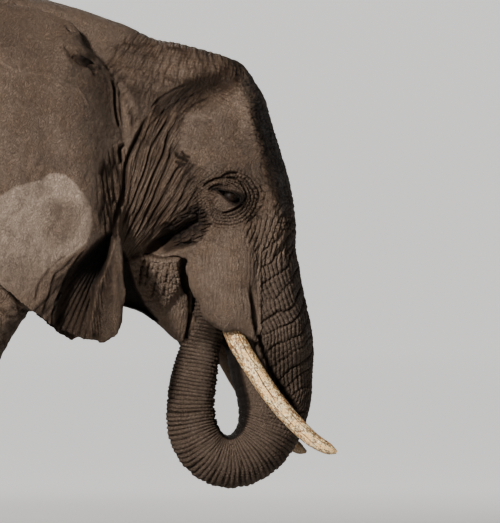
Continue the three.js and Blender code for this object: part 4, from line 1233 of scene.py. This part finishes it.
def ivory_material():
    """Cream ivory with brown stains, most at its root, fine grain, dark spots and long cracks. More brown
    towards its upper front and lower back is painted shade along its outline as seen from the side, and each
    tusk's inner side is painted dark as shadow.
    """
    n = Nodes("ivory")
    along, around, across = (n.attribute(name) for name in ("along", "around", "across"))
    where = n.node("ShaderNodeCombineXYZ", X=n.math("MULTIPLY", along, 22.0), Y=around, Z=across).outputs[0]
    streak = n.node("ShaderNodeCombineXYZ", X=n.math("MULTIPLY", along, 4.0), Y=around, Z=across).outputs[0]
    patches = n.noise(where, 1.3, 4.0, 0.6)
    lines = n.noise(streak, 9.0, 5.0, 0.7)
    specks = n.noise(where, 3.4, 6.0, 0.75)
    spots = n.noise(where, 7.5, 4.0, 0.7)
    colour = n.mix(n.scaled(patches, 0.44, 0.54), IVORY, IVORY_PALE)
    # Painted shade along the tusk's upper front and lower back, as more brown stain there.
    edges = n.math("ADD", n.scaled(around, 0.25, 0.95), n.scaled(around, -0.5, -1.0, 0.0, 0.7))
    root = n.scaled(n.math("ADD", along, n.math("MULTIPLY", patches, -0.2)), 0.34, 0.02)
    # Stain at the root and all over, with the painted shade of the sides added.
    stain_and_edge_shade = n.math("ADD", n.math("MULTIPLY", edges, 0.9), n.math("MULTIPLY", root, 1.0))
    stain_and_edge_shade = n.math("ADD", stain_and_edge_shade, 0.20)
    stain_and_edge_shade = n.math("ADD", stain_and_edge_shade, n.scaled(patches, 0.49, 0.55, 0.0, 0.5))
    stain_and_edge_shade = n.math("MINIMUM", stain_and_edge_shade, 1.0)
    colour = n.mix(n.math("MULTIPLY", n.scaled(lines, 0.52, 0.56, 0.0, 0.8), stain_and_edge_shade), colour, IVORY_BROWN)
    stain_and_shade = n.math("ADD", specks, n.math("MULTIPLY", stain_and_edge_shade, 0.10))
    colour = n.mix(n.scaled(stain_and_shade, 0.570, 0.600, 0.0, 0.85), colour, IVORY_BROWN)
    stain_and_shade = n.math("ADD", spots, n.math("MULTIPLY", stain_and_edge_shade, 0.07))
    colour = n.mix(n.scaled(stain_and_shade, 0.580, 0.605, 0.0, 0.85), colour, IVORY_DARK)
    # Painted shadow on each tusk's inner side, towards the other tusk, fading a little near the tip.
    inner = n.math("MULTIPLY", n.scaled(across, 0.1, -0.5), n.scaled(along, 0.95, 0.48, 0.80, 1.0))
    colour = n.mix(n.math("MULTIPLY", inner, 0.93), colour, IVORY_DARK)
    crack = n.attribute("crack")
    colour = n.mix(n.scaled(crack, 0.12, 0.6, 0.0, 0.95), colour, IVORY_DARK)
    height = n.math("ADD", n.math("MULTIPLY", lines, 0.8), n.math("MULTIPLY", specks, 0.5))
    return n.finish(colour, n.scaled(lines, 0.3, 0.7, 0.32, 0.5), height, 0.0012, 0.5, Subsurface_Weight=0.03)


def nail_material():
    """Horn with growth lines across it and dried earth in them."""
    n = Nodes("nail")
    where = n.place()
    bands = n.node("ShaderNodeTexNoise", Vector=n.node("ShaderNodeMapping", Vector=where,
                                                       Scale=(0.25, 0.25, 1.0))
                   .outputs[0], Scale=150.0, Detail=3.0).outputs["Fac"]
    patches = n.noise(where, 22.0, 4.0)
    colour = n.mix(n.scaled(bands, 0.35, 0.65), (0.125, 0.095, 0.070), (0.23, 0.185, 0.140))
    colour = n.mix(n.scaled(patches, 0.5, 0.7, 0.0, 0.7), colour, (0.070, 0.053, 0.040))
    return n.finish(colour, n.scaled(patches, 0.3, 0.7, 0.5, 0.72), bands, 0.0012, 0.4)


def eye_material():
    """Wet dark eye: black pupil, very dark brown iris with spokes, and a dark white round it; these dark
    tones are painted darker still as the shade of its lids.
    """
    n = Nodes("eye")
    off, spoke = n.attribute("off_axis"), n.attribute("spoke")
    fibres = n.noise(n.node("ShaderNodeCombineXYZ", X=spoke, Y=n.math("MULTIPLY", off, 2.0),
                            Z=0.0).outputs[0], 6.0)
    iris = n.mix(n.scaled(fibres, 0.35, 0.65), (0.005, 0.003, 0.002), (0.012, 0.007, 0.004))
    colour = n.mix(n.scaled(off, 0.15, 0.19), (0.003, 0.003, 0.003), iris)
    colour = n.mix(n.scaled(off, 0.40, 0.48), colour, (0.012, 0.008, 0.006))
    # The white round the iris: its own dark tone, painted darker as the lids' shade.
    stain_and_shade = n.mix(n.scaled(n.noise(n.place(), 160.0), 0.4, 0.7), (0.010, 0.007, 0.006),
                    (0.006, 0.004, 0.003))
    colour = n.mix(n.scaled(off, 0.56, 0.72), colour, stain_and_shade)
    return n.finish(colour, n.scaled(off, 0.5, 0.8, 0.30, 0.45), None, 0.001, 0.06)


def hair_material():
    n = Nodes("hair")
    tone = n.noise(n.place(), 220.0, 2.0)
    colour = n.mix(n.scaled(tone, 0.4, 0.7), (0.008, 0.007, 0.006), (0.030, 0.024, 0.019))
    return n.finish(colour, n.scaled(tone, 0.3, 0.7, 0.38, 0.6), tone, 0.0002, 0.4)


def floor_material():
    """Pale floor that glows away from her on every side and most behind her, as a lit backdrop does."""
    n = Nodes("floor")
    where = n.place()
    behind = n.node("ShaderNodeVectorMath", {"operation": "DOT_PRODUCT"}, Vector=where)
    behind.inputs[1].default_value = (math.sin(LEAN), math.cos(LEAN), 0)
    away = n.node("ShaderNodeVectorMath", {"operation": "LENGTH"}, Vector=where)
    glow = n.math("MULTIPLY", n.scaled(behind.outputs["Value"], -1.0, 12.0, 0.22, 0.90),
                  n.scaled(away.outputs["Value"], 2.5, 14.0))
    n.shader.inputs["Emission Color"].default_value = (1, 0.985, 0.965, 1)
    n.put(n.shader.inputs["Emission Strength"], glow)
    tone = n.noise(where, 0.8, 3.0)
    return n.finish(n.mix(n.scaled(tone, 0.3, 0.7), (0.50, 0.495, 0.485), (0.53, 0.525, 0.515)), 0.95, None,
                    0.001, 0.1)


# ---------------------------------------------------------------- pieces
def add_piece(mesh, material):
    piece = bpy.data.objects.new(mesh.name, mesh)
    bpy.context.scene.collection.objects.link(piece)
    mesh.materials.append(material)
    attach(piece, "root")
    return piece


def tube(centres, firsts, seconds):
    """Points and quads of a tube with closed ends: rows of centres, each with two half axes, arrays of one
    value for each side."""
    co = (centres[:, None] + firsts + seconds).reshape(-1, 3)
    rows, sides = firsts.shape[:2]
    index = np.arange(rows * sides).reshape(rows, sides)
    after = np.roll(index, -1, 1)
    quads = np.stack([index[:-1], index[1:], after[1:], after[:-1]], 2).reshape(-1, 4)
    co = np.vstack([co, centres[[0, -1]]])
    first, last = len(co) - 2, len(co) - 1
    none = np.full(sides, -1)
    caps = [np.column_stack([np.full(sides, first), index[0], after[0], none]),
            np.column_stack([np.full(sides, last), after[-1], index[-1], none])]
    return co, np.concatenate([quads] + caps)


def make_tusk(side, sign, material):
    """A tusk with grain, long cracks, chips, and a worn slanting tip. The left one's tip hangs lower."""
    path = curve([(x, y, z) for x, y, z, _ in TUSK], TUSK_ROWS)
    if sign > 0:
        path[:, 2] -= LEFT_TIP_DROP * smoothstep(path[:, 0], 1.5, 1.7)
    radius = curve([(r, 0) for _, _, _, r in TUSK], TUSK_ROWS)[:, 0]
    ahead = np.gradient(path, axis=0)
    ahead /= np.linalg.norm(ahead, axis=1)[:, None]
    out = np.cross(ahead, (0, 1, 0))
    out /= np.linalg.norm(out, axis=1)[:, None]
    aside = np.cross(out, ahead)
    along = np.concatenate([[0], np.cumsum(np.linalg.norm(np.diff(path, axis=0), axis=1))])
    turn = turns(TUSK_SIDES)
    grid_along = np.repeat(along, TUSK_SIDES)
    ring = np.column_stack([grid_along * 0.6, np.tile(np.cos(turn), len(path)) * 0.04,
                            np.tile(np.sin(turn), len(path)) * 0.04])
    seed = 200 if sign > 0 else 220
    grain = noise(ring * [1, 6, 6], 0.02, seed) + 0.6 * noise(ring * [1, 16, 16], 0.02, seed + 1)
    chips = smoothstep(noise(ring * [3.5, 3, 3], 0.03, seed + 2), 0.35, 0.8)
    crack = np.zeros(len(ring))
    angles = np.tile(turn, len(path))
    for start, end, at, width in TUSK_CRACKS:
        line = at + 0.10 * np.sin(grid_along * 21 + at) + 0.05 * np.sin(grid_along * 57)
        away = np.abs((angles - line + math.pi) % (2 * math.pi) - math.pi) * 0.035
        ends = smoothstep(grid_along, start, start + 0.05) * smoothstep(end - grid_along, 0, 0.06)
        crack = np.maximum(crack, ends * np.exp(-((away / width) ** 2)))
    swell = (0.0004 * grain - 0.0016 * chips - 0.0022 * crack).reshape(len(path), TUSK_SIDES)
    size = radius[:, None] + swell
    first = out[:, None] * (size * np.cos(turn))[:, :, None]
    second = aside[:, None] * (size * np.sin(turn))[:, :, None]
    co, quads = tube(path, first, second)
    tip = path[-1]
    slant = np.array([0.55, 0, -0.83])
    over = (co - tip) @ slant - 0.008
    co[over > 0] -= over[over > 0][:, None] * slant * 0.9
    values = {"along": np.append(grid_along, [0, along[-1]]), "crack": np.append(crack + 0.6 * chips * 0.5,
        [0, 0.5]),
              "around": np.append(np.tile(np.cos(turn), len(path)), [0, 0]),
              "across": np.append(np.tile(np.sin(turn), len(path)), [0, 0])}
    co[:, 1] *= sign
    if sign < 0:
        quads = np.where(quads[:, 3:] < 0, quads[:, [0, 2, 1, 3]], quads[:, ::-1])
    mesh = mesh_of(f"ivory_{side}", co, quads)
    set_values(mesh, values)
    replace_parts(add_piece(mesh, material), f"tusk_{side}")


def make_nail(name, material):
    """A toenail: a bulging plate, broad below and round above, with growth lines across it."""
    low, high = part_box(name)
    foot = points_of(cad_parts[name.split("_", 1)[1].rsplit("_", 1)[0]].data)
    foot = foot[foot[:, 2] < 0.1]
    middle = (np.array(low) + np.array(high)) / 2
    out = middle - (foot.min(0) + foot.max(0)) / 2
    out[2] = 0
    out /= np.linalg.norm(out)
    aside = np.cross((0, 0, 1), out)
    rows, sides = NAIL_ROWS, NAIL_SIDES
    rise = np.linspace(0, 1, rows)
    turn = turns(sides)
    rim = np.sqrt(np.clip(1 - rise**3.2, 0.0004, 1))
    seed = 300 + int(name[-1])
    grid = np.column_stack([np.repeat(rise, sides) * 3, np.tile(np.cos(turn), rows),
                            np.tile(np.sin(turn), rows)])
    lines = np.sin(rise * 44 + 1.5 * np.sin(rise * 9 + seed))[:, None]
    lines = 0.010 * lines + 0.022 * noise(grid, 0.6, seed).reshape(rows, sides)
    wide = 0.045 * rim * (1 - 0.16 * rise)
    thick = 0.027 * rim * (1 - 0.22 * rise)
    round_u = np.sign(np.cos(turn)) * np.abs(np.cos(turn)) ** 0.85
    round_v = np.sign(np.sin(turn)) * np.abs(np.sin(turn)) ** 0.85
    centres = middle + np.outer(0.003 - 0.007 * rise, out)
    centres[:, 2] = 0.012 + rise * (high.z - 0.010)
    co, quads = tube(centres, aside * ((wide[:, None] * (1 + lines)) * round_u)[:, :, None],
                     out * ((thick[:, None] * (1 + lines)) * round_v)[:, :, None])
    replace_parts(add_piece(mesh_of("horn_" + name, co, quads), material), name)


def make_eye(side, sign, material):
    """An eyeball with a swollen cornea, looking out, ahead and a little down."""
    ball, radius = eye_ball(side)
    look = np.array([0.30, sign * 1.0, -0.22])
    look /= np.linalg.norm(look)
    across = np.cross((0, 0, 1), look)
    across /= np.linalg.norm(across)
    up = np.cross(look, across)
    bend = np.linspace(0, math.pi, 49)[1:-1]
    turn = turns(EYE_SIDES)
    size = (radius - 0.0012) * (1 + 0.05 * np.exp(-((bend / 0.42) ** 2)))
    centres = np.array(ball)[None] + look * (size * np.cos(bend))[:, None]
    wide = (size * np.sin(bend))[:, None]
    first = across * (wide * np.cos(turn))[:, :, None]
    second = up * (wide * np.sin(turn))[:, :, None]
    co, quads = tube(centres, first, second)
    mesh = mesh_of(f"eyeball_{side}", co, quads)
    set_values(mesh, {"off_axis": np.append(np.repeat(bend, EYE_SIDES), [0, math.pi]),
                      "spoke": np.append(np.tile(np.sin(3 * turn), len(bend)), [0, 0])})
    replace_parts(add_piece(mesh, material), f"eye_{side}")


def skin_spots(skin):
    """The skin's points, and the place of each on its map."""
    spots = np.zeros((len(skin.data.vertices), 2))
    corner = np.empty(len(skin.data.loops), np.int32)
    skin.data.loops.foreach_get("vertex_index", corner)
    place = np.empty(len(corner) * 2, np.float32)
    skin.data.uv_layers["OFBake"].uv.foreach_get("vector", place)
    spots[corner] = place.reshape(-1, 2)
    return points_of(skin.data), spots


def make_strands(name, roots, ways, lengths, widths, bends, material, skin, curl=0.12, seed=3):
    """Tapered hairs of three sides. Each starts at its root along its way and bends towards the vector
    given. On the map each lies where the skin nearest its root does."""
    rng = np.random.default_rng(seed)
    steps = np.linspace(0, 1, 6)
    co, rows, spots = [], [], []
    skin_co, skin_places = skin
    near = ((skin_co > roots.min(0) - 0.06) & (skin_co < roots.max(0) + 0.06)).all(1)
    skin_co, skin_places = skin_co[near], skin_places[near]
    for root, way, length, width, bend in zip(roots, ways, lengths, widths, bends):
        side = np.cross(way, rng.normal(size=3))
        side /= np.linalg.norm(side)
        wave = rng.uniform(-1, 1, 2) * curl
        path = root + length * (way * steps[:, None] + bend * (steps**2)[:, None]
                                + side * (wave[0] * np.sin(steps * 3) + wave[1] * steps**2)[:, None])
        other = np.cross(way, side)
        start = len(co) * 16
        ring = np.arange(3) * 2 * math.pi / 3
        thick = width * (1 - 0.75 * steps[:-1])
        body = (path[:-1, None] + side * (thick[:, None] * np.cos(ring))[:, :, None]
                + other * (thick[:, None] * np.sin(ring))[:, :, None]).reshape(-1, 3)
        co.append(np.vstack([body, path[-1:]]))
        index = start + np.arange(15).reshape(5, 3)
        after = np.roll(index, -1, 1)
        rows.append(np.stack([index[:-1], after[:-1], after[1:], index[1:]], 2).reshape(-1, 4))
        rows.append(np.column_stack([index[-1], after[-1], np.full(3, start + 15), np.full(3, -1)]))
        rows.append(np.array([[start + 2, start + 1, start, -1]]))
        place = skin_places[((skin_co - root) ** 2).sum(1).argmin()]
        spots.append(place + HAIR_PATCH * rng.uniform(-0.5, 0.5, (16, 4, 2)))
    mesh = mesh_of(name, np.vstack(co), np.vstack(rows), np.concatenate(spots))
    return add_piece(mesh, material)


def tail_hair(material, skin):
    """Wiry hair in two rows on the flat end of her tail."""
    low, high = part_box("tail_tuft")
    rng = np.random.default_rng(11)
    count = TAIL_HAIRS
    turn = rng.choice([0.0, math.pi], count) + rng.normal(0, 0.45, count)
    lift = rng.uniform(-0.02, 0.10, count)
    radius = 0.014 + 0.05 * np.maximum(lift, 0)
    roots = np.column_stack([(low.x + high.x) / 2 + 0.10 * lift + radius * np.cos(turn),
                             radius * np.sin(turn),
                             high.z + lift])
    ways = np.column_stack([0.16 * np.cos(turn), 0.16 * np.sin(turn), -np.ones(count)])
    ways += rng.normal(0, 0.05, (count, 3))
    ways /= np.linalg.norm(ways, axis=1)[:, None]
    lengths = np.minimum(rng.uniform(0.16, 0.34, count), roots[:, 2] - low.z)
    bends = np.column_stack([-0.15 * np.cos(turn), -0.15 * np.sin(turn), -0.05 * np.ones(count)])
    piece = make_strands("tail_hair", roots, ways, lengths, rng.uniform(0.0004, 0.0008, count), bends,
                         material,
                         skin)
    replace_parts(piece, "tail_tuft")


def lashes(side, sign, material, skin):
    """Eyelashes along the upper lid, out and down."""
    ball, _ = eye_ball(side)
    rng = np.random.default_rng(31)
    count = LASHES
    turn = np.radians(np.linspace(12, 168, count)) + rng.normal(0, 0.02, count)
    wide = np.where(np.cos(turn) < 0, 0.050, 0.036) * np.cos(turn)
    tall = 0.016 * np.sin(turn) * (1 + 9 * wide)
    along = wide * math.cos(SLIT_TILT) - tall * math.sin(SLIT_TILT)
    up = wide * math.sin(SLIT_TILT) + tall * math.cos(SLIT_TILT)
    near = skin[0][(np.abs(skin[0][:, 0] - ball.x) < 0.06) & (np.abs(skin[0][:, 2] - ball.z) < 0.06)
                   & (skin[0][:, 1] * sign > 0.2)]
    roots = []
    for a, u in zip(along, up):
        away = (near[:, 0] - ball.x - a) ** 2 + (near[:, 2] - ball.z - u) ** 2
        roots.append((ball.x + a, near[away.argmin(), 1] - sign * 0.002, ball.z + u))
    ways = np.column_stack([along / 0.033 * 0.5 + 0.2, np.full(count, sign * 1.0),
                            -0.25 + 0.2 * rng.normal(size=count)])
    ways /= np.linalg.norm(ways, axis=1)[:, None]
    bends = np.column_stack([np.zeros(count), np.zeros(count), -0.65 + 0.1 * rng.normal(size=count)])
    make_strands(f"lashes_{side}", np.array(roots), ways, rng.uniform(0.016, 0.030, count),
                 rng.uniform(0.0003, 0.0005, count), bends, material, skin, 0.05, 32)


# ---------------------------------------------------------------- camera, light and floor
def studio():
    camera = bpy.data.objects.new("camera", bpy.data.cameras.new("camera"))
    bpy.context.scene.collection.objects.link(camera)
    bpy.context.scene.camera = camera
    back = Vector((-math.sin(LEAN), -math.cos(LEAN), 0))
    camera.location = Vector(VIEW_CENTRE) + back * VIEW_DISTANCE
    camera.rotation_euler = (-back).to_track_quat("-Z", "Y").to_euler()
    camera.data.sensor_width = 36
    camera.data.lens = 36 * VIEW_DISTANCE / VIEW_HEIGHT
    camera.data.clip_end = 1000

    bm = bmesh.new()
    rings = []
    around = 96
    profile = [(0.01, 0), (30, 0), (70, 0)]
    profile += [(70 + 25 * math.sin(a), 25 - 25 * math.cos(a)) for a in np.radians(np.arange(10, 81, 10))]
    for radius, height in profile:
        ring = [
            bm.verts.new((radius * math.cos(a), radius * math.sin(a), height))
            for a in turns(around)
        ]
        rings.append(ring)
    for low, high in zip(rings, rings[1:]):
        for k in range(around):
            bm.faces.new([low[k - 1], low[k], high[k], high[k - 1]])
    bm.faces.new(rings[0][::-1])
    mesh = bpy.data.meshes.new("floor")
    bm.normal_update()
    bm.to_mesh(mesh)
    bm.free()
    mesh.shade_smooth()
    floor = bpy.data.objects.new("floor", mesh)
    bpy.context.scene.collection.objects.link(floor)
    floor.data.materials.append(floor_material())

    world = bpy.data.worlds.new("world")
    world.use_nodes = True
    world.node_tree.nodes["Background"].inputs["Color"].default_value = (1.0, 0.97, 0.94, 1)
    world.node_tree.nodes["Background"].inputs["Strength"].default_value = 0.03
    bpy.context.scene.world = world

    def lamp(name, left, up, near, distance, size, power, colour):
        right = Vector((math.cos(LEAN), -math.sin(LEAN), 0))
        aim = Vector((1.0, 0, 1.5))
        way = (right * -left + Vector((0, 0, up)) + back * near).normalized()
        light = bpy.data.objects.new(name, bpy.data.lights.new(name, "AREA"))
        bpy.context.scene.collection.objects.link(light)
        light.location = aim + way * distance
        light.rotation_euler = way.to_track_quat("Z", "Y").to_euler()
        light.data.shape = "DISK"
        light.data.size = size
        light.data.energy = power
        light.data.color = colour

    lamp("key", 0.43, 0.46, 0.78, 9, 0.9, 2080, (1, 0.94, 0.86))
    lamp("fill", 0.25, 0.42, -0.90, 9, 4.0, 300, (1, 0.97, 0.93))


skin = skin_spots(make_skin())
ivory, wet, horn, hair = ivory_material(), eye_material(), nail_material(), hair_material()
for side, sign in SIDES.items():
    make_tusk(side, sign, ivory)
    make_eye(side, sign, wet)
    lashes(side, sign, hair, skin)
tail_hair(hair, skin)
for name in sorted(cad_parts):
    if name.startswith("nail_"):
        make_nail(name, horn)

studio()
